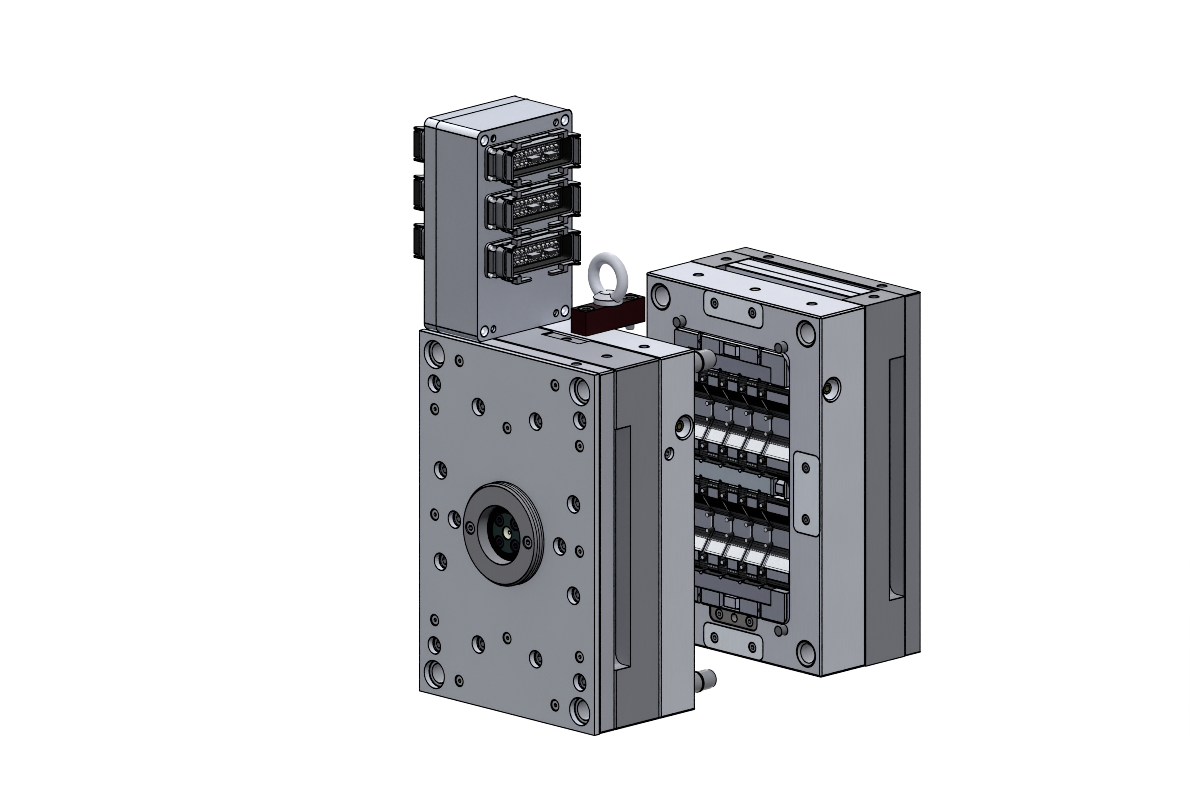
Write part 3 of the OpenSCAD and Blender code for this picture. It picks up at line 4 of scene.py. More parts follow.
import bmesh
import bpy
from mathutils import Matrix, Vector

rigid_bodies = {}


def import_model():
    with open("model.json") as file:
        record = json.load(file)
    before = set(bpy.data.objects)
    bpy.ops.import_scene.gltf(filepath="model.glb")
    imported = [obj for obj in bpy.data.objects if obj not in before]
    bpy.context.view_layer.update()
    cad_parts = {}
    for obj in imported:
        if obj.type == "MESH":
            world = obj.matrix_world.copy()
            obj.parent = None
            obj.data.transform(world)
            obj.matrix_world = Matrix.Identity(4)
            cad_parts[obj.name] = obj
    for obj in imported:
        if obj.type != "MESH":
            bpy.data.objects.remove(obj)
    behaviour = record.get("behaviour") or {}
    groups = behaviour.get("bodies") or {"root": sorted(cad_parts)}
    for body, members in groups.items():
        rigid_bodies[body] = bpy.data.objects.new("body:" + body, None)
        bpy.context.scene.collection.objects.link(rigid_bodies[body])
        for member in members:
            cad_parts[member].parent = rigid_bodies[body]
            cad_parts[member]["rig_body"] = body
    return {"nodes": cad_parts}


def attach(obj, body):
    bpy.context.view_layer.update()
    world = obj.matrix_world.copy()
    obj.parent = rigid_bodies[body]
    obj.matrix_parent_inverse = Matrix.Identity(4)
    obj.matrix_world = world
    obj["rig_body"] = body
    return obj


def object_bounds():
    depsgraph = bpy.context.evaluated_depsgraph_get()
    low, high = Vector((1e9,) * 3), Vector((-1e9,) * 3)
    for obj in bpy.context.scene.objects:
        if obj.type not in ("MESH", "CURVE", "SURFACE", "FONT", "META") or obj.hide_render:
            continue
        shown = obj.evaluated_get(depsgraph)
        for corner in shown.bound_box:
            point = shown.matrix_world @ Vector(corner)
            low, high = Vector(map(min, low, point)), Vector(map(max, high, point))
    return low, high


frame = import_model()
cad_low, cad_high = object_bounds()
scene = bpy.context.scene

# Camera
# The picture is a parallel view of the open mould, from its front right corner and a little above. The width
# takes in the whole mould, with the white margins that the picture leaves around it.
camera_azimuth = math.radians(45)
camera_elevation = math.radians(14.8)
camera_target = Vector((-0.0318, 0.1807, 0.130))
camera_distance = 3
picture_width = 1.4238
camera_back = Vector((math.sin(camera_azimuth) * math.cos(camera_elevation),
                      -math.cos(camera_azimuth) * math.cos(camera_elevation),
                      math.sin(camera_elevation)))
camera_data = bpy.data.cameras.new("camera")
camera_data.type = "ORTHO"
camera_data.ortho_scale = picture_width
camera_data.clip_end = 20
camera = bpy.data.objects.new("camera", camera_data)
camera.location = camera_target + camera_back * camera_distance
camera.rotation_mode = "QUATERNION"
camera.rotation_quaternion = (-camera_back).to_track_quat("-Z", "Y")
scene.collection.objects.link(camera)
scene.camera = camera

# Studio
# White surroundings, a strong lamp high on the right and a weak one behind, neither casting shadows, as in
# the picture. The floor just below the mould shows white and keeps a faint shadow where the mould stands.
scene.view_settings.view_transform = "Standard"
scene.cycles.filter_width = 0.8
sky_strength = 0.15
world = bpy.data.worlds.new("studio")
scene.world = world
world.use_nodes = True
world_tree = world.node_tree
sky = world_tree.nodes["Background"]
sky.inputs["Strength"].default_value = sky_strength
sky.inputs["Color"].default_value = (1, 1, 1, 1)
white = world_tree.nodes.new("ShaderNodeBackground")
white.inputs["Color"].default_value = (1, 1, 1, 1)
choose = world_tree.nodes.new("ShaderNodeMixShader")


def seen_directly(tree):
    """1 for what the camera sees straight, mirrored in metal or through glass, and 0 for scattered light."""
    path = tree.nodes.new("ShaderNodeLightPath")
    total = path.outputs["Is Camera Ray"]
    for kind in ("Is Glossy Ray", "Is Transmission Ray"):
        most = tree.nodes.new("ShaderNodeMath")
        most.operation = "MAXIMUM"
        tree.links.new(total, most.inputs[0])
        tree.links.new(path.outputs[kind], most.inputs[1])
        total = most.outputs[0]
    return total


world_tree.links.new(seen_directly(world_tree), choose.inputs[0])
world_tree.links.new(sky.outputs[0], choose.inputs[1])
world_tree.links.new(white.outputs[0], choose.inputs[2])
world_tree.links.new(choose.outputs[0], world_tree.nodes["World Output"].inputs["Surface"])

lamp_spread = math.radians(5)
for name, toward, strength in (("lamp_above", (0.40, -0.30, 0.87), 2.7),
                               ("lamp_behind", (-0.50, 0.55, 0.67), 0.9)):
    lamp = bpy.data.lights.new(name, "SUN")
    lamp.energy = strength
    lamp.angle = lamp_spread
    lamp.use_shadow = False
    holder = bpy.data.objects.new(name, lamp)
    holder.rotation_mode = "QUATERNION"
    holder.rotation_quaternion = Vector(toward).to_track_quat("Z", "Y")
    scene.collection.objects.link(holder)

floor_reach = 9
floor_z = cad_low[2] - 0.0005
floor_grey = 0.16
floor_glow = 1 - floor_grey
floor_corners = [(x * floor_reach, y * floor_reach, floor_z) for x, y in ((-1, -1), (1, -1), (1, 1), (-1, 1))]
floor_mesh = bpy.data.meshes.new("floor")
floor_mesh.from_pydata(floor_corners, [], [(0, 1, 2, 3)])
floor = bpy.data.objects.new("floor", floor_mesh)
scene.collection.objects.link(floor)
floor_paint = bpy.data.materials.new("studio_floor")
floor_paint.use_nodes = True
floor_tree = floor_paint.node_tree
floor_tree.nodes.clear()
surface_out = floor_tree.nodes.new("ShaderNodeOutputMaterial")
matt = floor_tree.nodes.new("ShaderNodeBsdfDiffuse")
matt.inputs["Color"].default_value = (floor_grey, floor_grey, floor_grey, 1)
glow = floor_tree.nodes.new("ShaderNodeEmission")
glow.inputs["Strength"].default_value = floor_glow
lit = floor_tree.nodes.new("ShaderNodeAddShader")
pick = floor_tree.nodes.new("ShaderNodeMixShader")
floor_tree.links.new(matt.outputs[0], lit.inputs[0])
floor_tree.links.new(glow.outputs[0], lit.inputs[1])
floor_tree.links.new(seen_directly(floor_tree), pick.inputs[0])
floor_tree.links.new(matt.outputs[0], pick.inputs[1])
floor_tree.links.new(lit.outputs[0], pick.inputs[2])
floor_tree.links.new(pick.outputs[0], surface_out.inputs["Surface"])
floor_mesh.materials.append(floor_paint)


# Insulation plate
# A board of pressed glass fibre that keeps the hot runner's heat from the machine. It is sawn square, bored
# for the ring and the screws, and held to the clamping plate by flat-headed screws.
def node_group(name, inputs, outputs):
    """A new shader group with these (name, kind) sockets, its input node and its output node."""
    group = bpy.data.node_groups.new(name, "ShaderNodeTree")
    for socket, kind in inputs:
        group.interface.new_socket(socket, in_out="INPUT", socket_type="NodeSocket" + kind)
    for socket, kind in outputs:
        group.interface.new_socket(socket, in_out="OUTPUT", socket_type="NodeSocket" + kind)
    return group, group.nodes.new("NodeGroupInput"), group.nodes.new("NodeGroupOutput")


# Grinding marks are grain stretched along the tool's path, with broad soft clouds as hands and oil leave
# them. Together they darken and lighten the colour by Depth and swing the roughness about Gloss.
grain_detail = 3
cloud_scale, cloud_detail = 9, 2
darkest_sum, lightest_sum = 0.6, 1.4
gloss_swing = 0.16
grinding, inside, result = node_group(
    "grinding_marks",
    [("Vector", "Vector"), ("Colour", "Color"), ("Stretch", "Vector"), ("Depth", "Float"),
     ("Gloss", "Float")],
    [("Colour", "Color"), ("Roughness", "Float"), ("Height", "Float")])
stretch = grinding.nodes.new("ShaderNodeVectorMath")
stretch.operation = "MULTIPLY"
grain = grinding.nodes.new("ShaderNodeTexNoise")
grain.inputs["Scale"].default_value = 1
grain.inputs["Detail"].default_value = grain_detail
cloud = grinding.nodes.new("ShaderNodeTexNoise")
cloud.inputs["Scale"].default_value = cloud_scale
cloud.inputs["Detail"].default_value = cloud_detail
both = grinding.nodes.new("ShaderNodeMath")
both.operation = "ADD"
tone = grinding.nodes.new("ShaderNodeMapRange")
tone.inputs["From Min"].default_value = darkest_sum
tone.inputs["From Max"].default_value = lightest_sum
centred = grinding.nodes.new("ShaderNodeMath")
centred.operation = "SUBTRACT"
centred.inputs[1].default_value = 0.5
scaled = grinding.nodes.new("ShaderNodeMath")
scaled.operation = "MULTIPLY_ADD"
scaled.inputs[2].default_value = 1
tint = grinding.nodes.new("ShaderNodeVectorMath")
tint.operation = "SCALE"
gloss = grinding.nodes.new("ShaderNodeMath")
gloss.operation = "MULTIPLY_ADD"
gloss.inputs[1].default_value = gloss_swing
grinding.links.new(inside.outputs["Vector"], stretch.inputs[0])
grinding.links.new(inside.outputs["Stretch"], stretch.inputs[1])
grinding.links.new(stretch.outputs[0], grain.inputs["Vector"])
grinding.links.new(inside.outputs["Vector"], cloud.inputs["Vector"])
grinding.links.new(grain.outputs["Fac"], both.inputs[0])
grinding.links.new(cloud.outputs["Fac"], both.inputs[1])
grinding.links.new(both.outputs[0], tone.inputs["Value"])
grinding.links.new(tone.outputs[0], centred.inputs[0])
grinding.links.new(centred.outputs[0], scaled.inputs[0])
grinding.links.new(inside.outputs["Depth"], scaled.inputs[1])
grinding.links.new(inside.outputs["Colour"], tint.inputs[0])
grinding.links.new(scaled.outputs[0], tint.inputs["Scale"])
grinding.links.new(centred.outputs[0], gloss.inputs[0])
grinding.links.new(inside.outputs["Gloss"], gloss.inputs[2])
grinding.links.new(tint.outputs[0], result.inputs["Colour"])
grinding.links.new(gloss.outputs[0], result.inputs["Roughness"])
grinding.links.new(grain.outputs["Fac"], result.inputs["Height"])

# Marks in a metre along X, Y and Z: long strokes up the plates, and an even grain on pressed board
upright_strokes = (900, 900, 40)
pressed_grain = (500, 500, 500)
relief_depth = 0.0002


def linear_of(level):
    """Linear light of an sRGB level from 0 to 255."""
    if level < 11:
        return level / 255 / 12.92
    return ((level / 255 + 0.055) / 1.055) ** 2.4


def finish_of(name, colour, rough=0.5, metal=0.0, along=upright_strokes, depth=0.10, bump=0.06, shine=0.5):
    """A surface in this sRGB colour (0 to 255), with grinding marks stretched by the vector along."""
    material = bpy.data.materials.new(name)
    material.use_nodes = True
    nodes, links = material.node_tree.nodes, material.node_tree.links
    surface = nodes["Principled BSDF"]
    place = nodes.new("ShaderNodeTexCoord")
    marks = nodes.new("ShaderNodeGroup")
    marks.node_tree = grinding
    linear = [linear_of(level) for level in colour]
    marks.inputs["Colour"].default_value = (*linear, 1)
    marks.inputs["Stretch"].default_value = along
    marks.inputs["Depth"].default_value = depth
    marks.inputs["Gloss"].default_value = rough
    relief = nodes.new("ShaderNodeBump")
    relief.inputs["Strength"].default_value = bump
    relief.inputs["Distance"].default_value = relief_depth
    surface.inputs["Metallic"].default_value = metal
    surface.inputs["Specular IOR Level"].default_value = shine
    links.new(place.outputs["Object"], marks.inputs["Vector"])
    links.new(marks.outputs["Colour"], surface.inputs["Base Color"])
    links.new(marks.outputs["Roughness"], surface.inputs["Roughness"])
    links.new(marks.outputs["Height"], relief.inputs["Height"])
    links.new(relief.outputs["Normal"], surface.inputs["Normal"])
    material.diffuse_color = (*linear, 1)
    return material


def dress(nodes, material):
    """Gives these nodes this material alone."""
    for node in nodes:
        piece = frame["nodes"][node]
        piece.data.materials.clear()
        piece.data.materials.append(material)


# The picture is drawn with black lines on every edge, so each sharp edge carries a thin dark bead
edge_black = finish_of("edge_black", (3, 3, 4), rough=1.0, depth=0.3, shine=0)
sharp_angle = math.radians(32)
same_point = 1e-5
plate_edge = 0.0011
screw_edge = 0.0008


def dark_line(name, radius):
    """An object for thin dark beads of this radius, and its curve, which has no path yet."""
    line = bpy.data.curves.new(name, "CURVE")
    line.dimensions = "3D"
    line.bevel_depth = radius
    line.bevel_resolution = 0
    line.materials.append(edge_black)
    beads = bpy.data.objects.new(name, line)
    scene.collection.objects.link(beads)
    return beads, line


def add_path(line, places, closed=False):
    """Lays one bead of this line through these places."""
    path = line.splines.new("POLY")
    path.points.add(len(places) - 1)
    for point, place in zip(path.points, places):
        point.co = (*place, 1)
    path.use_cyclic_u = closed


def welded_copy(piece):
    """A mesh to read edges from, in which the corners that lie together are one."""
    shape = bmesh.new()
    shape.from_mesh(piece.data)
    bmesh.ops.remove_doubles(shape, verts=shape.verts, dist=same_point)
    return shape


def follow_edges(start, first, meeting, left):
    """Places along a run of sharp edges, up to a fork, its end or its own start, and whether it is closed."""
    places, edge, at = [start.co.copy()], first, start
    while edge:
        left.discard(edge)
        at = edge.other_vert(at)
        places.append(at.co.copy())
        onward = [other for other in meeting[at] if other in left]
        edge = onward[0] if len(meeting[at]) == 2 and onward else None
    closed = at is start
    return (places[:-1] if closed else places), closed


def draw_edges(nodes, radius=plate_edge):
    """Thin dark beads along every sharp edge of these nodes, which ride on the nodes' own bodies."""
    for node in nodes:
        piece = frame["nodes"][node]
        shape = welded_copy(piece)
        sharp = [edge for edge in shape.edges
                 if len(edge.link_faces) == 2 and edge.calc_face_angle() > sharp_angle]
        meeting = {}
        for edge in sharp:
            for corner in edge.verts:
                meeting.setdefault(corner, []).append(edge)
        left = set(sharp)
        beads, line = dark_line(node + "_edges", radius)
        line.use_fill_caps = True
        forks = [corner for corner in shape.verts if corner in meeting and len(meeting[corner]) != 2]
        for corner in forks:
            for edge in meeting[corner]:
                if edge in left:
                    add_path(line, *follow_edges(corner, edge, meeting, left))
        for edge in sorted(sharp, key=lambda edge: edge.index):
            if edge in left:
                add_path(line, *follow_edges(edge.verts[0], edge, meeting, left))
        shape.free()
        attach(beads, piece["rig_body"])


insulation_board = finish_of("insulation_board", (196, 201, 211), rough=0.7, along=pressed_grain, shine=0.3)
dress(["insulation_plate"], insulation_board)
dress(["insulation_screws"], finish_of("dull_screws", (150, 152, 158), rough=0.4, metal=0.3))
draw_edges(["insulation_plate"])
draw_edges(["insulation_screws"], screw_edge)

# Fixed clamping plate
# A ground tool steel plate, 27 mm thick, by which the machine holds the fixed half. Its edges are bevelled,
# and M12 socket screws sunk into it hold the half together. Its upper face carries painted light, a lighter
# copy of the steel.
clamp_steel = finish_of("clamp_plate_steel", (174, 176, 186), rough=0.45, shine=0.12)
clamp_top_painted_light = finish_of("clamp_top_painted_light", (181, 183, 193), rough=0.45, shine=0.12)
screw_steel = finish_of("screw_steel", (120, 123, 130), rough=0.35, metal=0.5)
facing = 0.9


def dress_faces(node, material, chosen):
    """Gives this material to the faces that chosen(centre, normal) picks, in the node's own axes."""
    piece = frame["nodes"][node]
    piece.data.materials.append(material)
    for face in piece.data.polygons:
        if chosen(face.center, face.normal):
            face.material_index = len(piece.data.materials) - 1


def faces_up(centre, normal):
    """True for level faces that look up."""
    return normal.z > facing


dress(["fixed_clamp_plate"], clamp_steel)
dress_faces("fixed_clamp_plate", clamp_top_painted_light, faces_up)
dress(["clamp_screws"], screw_steel)
draw_edges(["fixed_clamp_plate"])
draw_edges(["clamp_screws"], screw_edge)

# Locating ring and inlet
# A turned steel ring, fastened by two screws, that centres the mould on the machine. It stands round a
# blackened inlet bush with four black screws, in which the pale nozzle seat sits.
inlet_reach = 0.025
dress(["locating_ring"], finish_of("ring_steel", (138, 139, 145), rough=0.5, shine=0.12))
dress(["inlet_bush"], finish_of("inlet_steel", (34, 50, 51), rough=0.5, shine=0.05))
dress(["nozzle_seat"], finish_of("seat_steel", (236, 238, 222), rough=0.5))
dress(["ring_screws"], screw_steel)
dress_faces("ring_screws", finish_of("inlet_screw_black", (16, 17, 26), rough=0.5, shine=0.1),
            lambda centre, normal: math.hypot(centre.x, centre.z) < inlet_reach)
draw_edges(["locating_ring", "inlet_bush", "nozzle_seat"])
draw_edges(["ring_screws"], screw_edge)


def box_of(*nodes):
    """Lowest and highest corner of these nodes together."""
    corners = [corner.co for node in nodes for corner in frame["nodes"][node].data.vertices]
    lowest = Vector([min(corner[axis] for corner in corners) for axis in range(3)])
    highest = Vector([max(corner[axis] for corner in corners) for axis in range(3)])
    return lowest, highest


# Fine steps that the lathe left: three round the ring's rim, and four in the bush's face
rim_steps = (0.0015, 0.0055, 0.0095)
rim_bevel = 0.0015
rim_line = 0.0009
bush_steps = (0.0252, 0.0274, 0.0296, 0.0318)
bush_line = 0.0013
turned_corners = 96
tenth_mm = 0.0001


def turned_line(name, radius, y, thick):
    """A dark line round the ring's axis."""
    turned, line = dark_line(name, thick)
    turns = [2 * math.pi * step / turned_corners for step in range(turned_corners)]
    add_path(line, [(radius * math.cos(turn), y, radius * math.sin(turn)) for turn in turns], closed=True)
    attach(turned, frame["nodes"]["locating_ring"]["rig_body"])


ring_low, ring_high = box_of("locating_ring")
bush_front = box_of("inlet_bush")[0].y
for step in rim_steps:
    turned_line(f"ring_line_{round(step / tenth_mm)}", ring_high.x, ring_low.y + step + rim_bevel, rim_line)
for radius in bush_steps:
    turned_line(f"inlet_line_{round(radius / tenth_mm)}", radius, bush_front, bush_line)

# Hot-runner frame
# The deepest steel plate of the fixed half, milled out for the distributor, with clamping slots in its sides
# and a channel for the heaters' wires in its top. A thin cover lies on the channel.
frame_steel = finish_of("frame_steel", (137, 139, 146), rough=0.45, shine=0.12)
# The upper faces get a lighter copy of the steel, which is painted light
frame_top_painted_light = finish_of("frame_top_painted_light", (149, 152, 162), rough=0.45, shine=0.12)
hot_runner_frame = ["manifold_plate", "wire_channel_cover"]
dress(hot_runner_frame, frame_steel)
for node in hot_runner_frame:
    dress_faces(node, frame_top_painted_light, faces_up)
draw_edges(hot_runner_frame)

# Hot runner
# A heated distributor block inside the frame, held off the plates by pads, with a nozzle to each group of
# cavities. All are of heat-browned steel, and none is seen while the mould is whole.
hot_runner = ["hot_runner_manifold", "manifold_pads", "hot_nozzles"]
dress(hot_runner, finish_of("runner_steel", (120, 116, 112), rough=0.5))
draw_edges(hot_runner)

# Cavity plate and insert
# A bright ground steel plate on the fixed side of the parting face. It holds the hardened block that forms
# the outside of the mouldings, and socket screws fasten the block.
cavity_steel = finish_of("cavity_steel", (208, 211, 221), rough=0.5, shine=0.05)
insert_steel = finish_of("insert_steel", (154, 158, 171), rough=0.45, shine=0.1)
face_screw_steel = finish_of("face_screw_steel", (130, 132, 138), rough=0.35, metal=0.4)
parting_edge = 0.0012
small_edge = 0.0006
dress(["cavity_plate"], cavity_steel)
dress(["cavity_insert"], insert_steel)
dress(["cavity_insert_screws"], face_screw_steel)
draw_edges(["cavity_plate"], parting_edge)
draw_edges(["cavity_insert"])
draw_edges(["cavity_insert_screws"], small_edge)

# Guides
# Hardened steel pillars set in the cavity plate, bushes that take them in the core plate, and sleeves that
# line up the plates behind. They are turned and polished.
turned_strokes = (60, 900, 60)
polished = finish_of("polished_steel", (160, 162, 168), rough=0.3, along=turned_strokes)
pillar_steel = finish_of("pillar_steel", (134, 136, 143), rough=0.35, along=turned_strokes, shine=0.4)
bushes_and_sleeves = ["guide_bushes", "centring_sleeves", "dowel_sleeves"]
dress(bushes_and_sleeves, polished)
dress(["guide_pillars"], pillar_steel)
draw_edges(["guide_pillars"] + bushes_and_sleeves)

# Core plate
# A bright ground steel plate on the moving side, screwed to the risers. Pads in its face take the closing
# force, a key plate lies below the insert, and socket screws hold them.
dress(["core_plate"], cavity_steel)
dress(["parting_pads"], finish_of("pad_steel", (240, 246, 255), rough=0.4))
dress(["key_plate"], finish_of("key_steel", (136, 132, 131), rough=0.5, shine=0.2))
dress(["core_face_screws"], face_screw_steel)
draw_edges(["core_plate"], parting_edge)
draw_edges(["parting_pads", "key_plate"])
draw_edges(["core_face_screws"], small_edge)

# Core insert
# A hardened steel block, screwed in from behind, with two rows of cavities between sloping flanks. Cores
# stand in their pockets, bars lie above, below and between the rows, and tapered locks centre the block on the
# cavity side.
bar_steel = finish_of("bar_steel", (142, 145, 161), rough=0.45, shine=0.1)
bar_top_shade = finish_of("bar_top_shade", (40, 42, 47), rough=0.6, shine=0.05)
middle_bar_steel = finish_of("middle_bar_steel", (178, 188, 200), rough=0.45, shine=0.1)
slope_painted_light = finish_of("slope_painted_light", (247, 251, 255), rough=0.3, shine=1.0)
slope_shade = finish_of("slope_shade", (4, 4, 7), rough=0.8, shine=0)
pocket_shade = finish_of("pocket_shade", (24, 25, 28), rough=0.7, shine=0.1)
middle_bar_reach = 0.02
slope_lean = 0.4
dress(["core_insert"], insert_steel)
dress(["cavity_cores"], finish_of("core_shade", (52, 54, 59), rough=0.5, shine=0.1))
dress(["parting_bars"], bar_steel)
dress(["taper_locks"], finish_of("lock_steel", (186, 190, 202), rough=0.45, shine=0.1))
dress_faces("parting_bars", bar_top_shade, faces_up)
dress_faces("parting_bars", middle_bar_steel,
            lambda centre, normal: abs(centre.z) < middle_bar_reach and normal.z < facing)

# The flanks carry painted light, near white, where they look up and painted shade, near black, where they
# look down, and the pockets have painted shade inside
parting_y = box_of("core_plate")[0].y
pocket_floor = parting_y + 0.007
pocket_slack = 0.0005
dress_faces("core_insert", slope_painted_light,
            lambda centre, normal: normal.y < -slope_lean and normal.z > slope_lean)
dress_faces("core_insert", slope_shade,
            lambda centre, normal: normal.y < -slope_lean and normal.z < -slope_lean)
dress_faces("core_insert", pocket_shade,
            lambda centre, normal: parting_y + pocket_slack < centre.y < pocket_floor + pocket_slack
            and (max(abs(normal.x), abs(normal.z)) > facing or normal.y < -facing))
draw_edges(["core_insert", "parting_bars", "taper_locks"])
draw_edges(["cavity_cores"], small_edge)

# Strips in the cavity rows
# Hardened steel strips let into the flanks and along the ridges of both rows, with fine joints. Distances
# run up and down from the middle of a row, over its floor, its flank, its ridge and the land.
row_z = 0.069
row_half_l = 0.0945
cavity_pitch = 0.033
half_cavity = 0.00775
trough_floor, trough_mouth, ridge_edge, groove_edge = 0.0116, 0.035, 0.0475, 0.054
trough_y, ridge_y, land_y = parting_y + 0.015, parting_y - 0.0014, parting_y - 0.0002
seam_x = [(seam - 1.5) * cavity_pitch for seam in range(4)]
whole_row = [(-row_half_l, row_half_l)]
slope_joint = trough_floor + 0.4 * (trough_mouth - trough_floor)
above, below, both_sides = (1,), (-1,), (-1, 1)
strip_t, high_strip_t, tooth_t = 0.0003, 0.0006, 0.0008
joint_line = 0.0004

# The six sides of a block, by the numbers of its eight corners
box_quads = ((0, 1, 3, 2), (4, 6, 7, 5), (0, 4, 5, 1), (2, 3, 7, 6), (0, 2, 6, 4), (1, 5, 7, 3))


def row_surface(distance):
    """Front of a row this far above or below its middle."""
    if distance <= trough_floor:
        return trough_y
    if distance <= trough_mouth:
        return trough_y + (ridge_y - trough_y) * (distance - trough_floor) / (trough_mouth - trough_floor)
    return ridge_y if distance < ridge_edge else land_y


def row_strips(name, inner, outer, spans, material, lift=strip_t, sides=both_sides):
    """Thin strips between two distances from each row's middle, one for each (x0, x1) in spans."""
    corners, faces = [], []
    for row in (-row_z, row_z):
        for side in sides:
            for span in spans:
                first = len(corners)
                corners += [(x, row_surface(distance) - raised, row + side * distance)
                            for x in span for distance in (inner, outer) for raised in (0, lift)]
                faces += [[first + corner for corner in quad] for quad in box_quads]
    mesh = bpy.data.meshes.new(name)
    mesh.from_pydata(corners, [], faces)
    mesh.materials.append(material)
    piece = bpy.data.objects.new(name, mesh)
    scene.collection.objects.link(piece)
    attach(piece, frame["nodes"]["core_insert"]["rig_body"])


def row_lines(name, distances):
    """Dark joints along both rows at these distances above and below their middles."""
    beads, line = dark_line(name, joint_line)
    for row in (-row_z, row_z):
        for side in both_sides:
            for distance in distances:
                add_path(line, [(x, row_surface(distance) - strip_t, row + side * distance)
                                for x in (-row_half_l, row_half_l)])
    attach(beads, frame["nodes"]["core_insert"]["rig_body"])


def spans_at(starts, offsets, length):
    """Spans of this length that begin at each offset from each start."""
    return [(start + offset, start + offset + length) for start in starts for offset in offsets]


strip_steel = finish_of("strip_steel", (30, 31, 35), rough=0.6, shine=0.2)
# A near-white colour for the painted highlights on the flanks and floors
seam_painted_highlight = finish_of("seam_painted_highlight", (216, 220, 232), rough=0.4)
row_strips("slope_strips", trough_floor, slope_joint, whole_row, strip_steel)
row_strips("groove_strips", ridge_edge, groove_edge, whole_row, strip_steel)

# Small teeth in the grooves between cavities and along the lower flank's joint, and bright strips of painted
# highlight in the floor
tooth_l = 0.0018
groove_tooth_steps = [tooth * 0.0042 for tooth in range(4)]
slope_tooth_steps = [tooth * 0.0036 for tooth in range(52)]
row_strips("groove_teeth", ridge_edge + 0.0018, ridge_edge + 0.0034,
           spans_at([seam + half_cavity for seam in seam_x[:-1]], groove_tooth_steps, tooth_l),
           polished, tooth_t)
row_strips("slope_teeth", slope_joint - 0.0014, slope_joint - 0.0002,
           spans_at([-row_half_l], slope_tooth_steps, tooth_l), polished, high_strip_t, below)
row_strips("floor_lights", 0.0002, trough_floor - 0.0008,
           spans_at(seam_x, [-0.0034], 0.0022), seam_painted_highlight)

# The seams between cavities: a dark bed on the lower flank with bright strips of painted highlight in it, and
# two more painted highlights on the upper flank
row_strips("seam_beds", slope_joint + 0.0004, trough_mouth - 0.0006, spans_at(seam_x, [-0.0042], 0.0084),
           strip_steel, sides=below)
row_strips("seam_lights", slope_joint + 0.0008, trough_mouth - 0.001,
           spans_at(seam_x, [-0.003, 0.0004, 0.0026], 0.0009), seam_painted_highlight, high_strip_t, below)
row_strips("slope_glints", 0.55 * trough_mouth, trough_mouth - 0.002,
           spans_at(seam_x, [-0.0012, 0.001], 0.0007), polished, high_strip_t, above)
row_lines("slope_joints", [trough_floor + 0.0022, trough_floor + 0.0048, slope_joint, trough_mouth - 0.0025])
row_lines("groove_joints", [ridge_edge + 0.0012, ridge_edge + 0.004, groove_edge])

# Cooling plugs
# Brass nipples, dulled to olive, screwed deep into the bored ports of the right side. Hoses for the cooling
# water push onto them.
water_plugs = ["water_plug_fixed", "water_plug_moving"]
dress(water_plugs, finish_of("plug_brass", (96, 94, 70), rough=0.4, metal=0.2))
draw_edges(water_plugs)

# Risers and moving clamping plate
# Two steel bars that keep the room for the ejectors open, and the plate by which the machine holds the moving
# half. M12 socket screws run through them into the core plate, and smaller ones hold the core insert.
dress(["left_riser", "right_riser", "moving_clamp_plate"], frame_steel)
dress(["moving_screws"], screw_steel)
draw_edges(["left_riser", "right_riser", "moving_clamp_plate"])
draw_edges(["moving_screws"], screw_edge)

# Ejector set
# Two bright steel plates screwed together, which slide between the risers. They push thin ejector pins through
# the insert and thicker return pins through the core plate. Polished pillars through both plates support it.
dress(["ejector_plate", "ejector_retainer_plate"], cavity_steel)
dress(["ejector_screws"], face_screw_steel)
dress(["support_pillars"], polished)
dress(["return_pins"], finish_of("return_pin_steel", (104, 106, 110), rough=0.4, shine=0.2))
dress(["ejector_pins"], finish_of("pin_shade", (30, 31, 34), rough=0.6, shine=0.1))
dress_faces("ejector_pins", finish_of("pin_tips", (226, 230, 238), rough=0.3),
            lambda centre, normal: normal.y < -facing)
draw_edges(["ejector_plate", "ejector_retainer_plate", "support_pillars", "return_pins"])
draw_edges(["ejector_pins", "ejector_screws"], small_edge)

# Junction box
# A steel box with a lid, painted grey, which stands on the plates and carries the connectors. Bright screws
# deep in its corners hold the lid, and others hold its foot.
sprayed_grain = (300, 300, 300)
box_parts = ["junction_box", "junction_box_lid"]
box_edge = 0.0012
dress(box_parts, finish_of("box_paint", (169, 173, 184), rough=0.45, along=sprayed_grain, shine=0.2))
dress(["box_screws"], finish_of("box_screw_steel", (236, 239, 246), rough=0.35))
draw_edges(box_parts, box_edge)

# The upper faces carry painted light, a lighter copy of the paint, the upper roundings a near-white painted
# highlight, and the walls of the screw holes in the corners near-white painted light
box_low, box_high = box_of(*box_parts)
box_round = 0.012
corner_zone = 0.030
skin = 0.002
quite_flat = 0.996
rising = 0.2


def in_corner_hole(centre, normal):
    """True for the walls of the holes near the box's four long edges."""
    depth_y = min(centre.y - box_low.y, box_high.y - centre.y)
    depth_z = min(centre.z - box_low.z, box_high.z - centre.z)
    off_round = math.hypot(max(box_round - depth_y, 0), max(box_round - depth_z, 0))
    across = abs(normal.x) < facing
    near_corner = skin < min(depth_y, depth_z) and max(depth_y, depth_z) < corner_zone
    return across and near_corner and off_round < box_round - skin


def on_upper_rounding(centre, normal):
    """True for the curved faces that lead up to the box's top."""
    return normal.z > rising and max(map(abs, normal)) < quite_flat


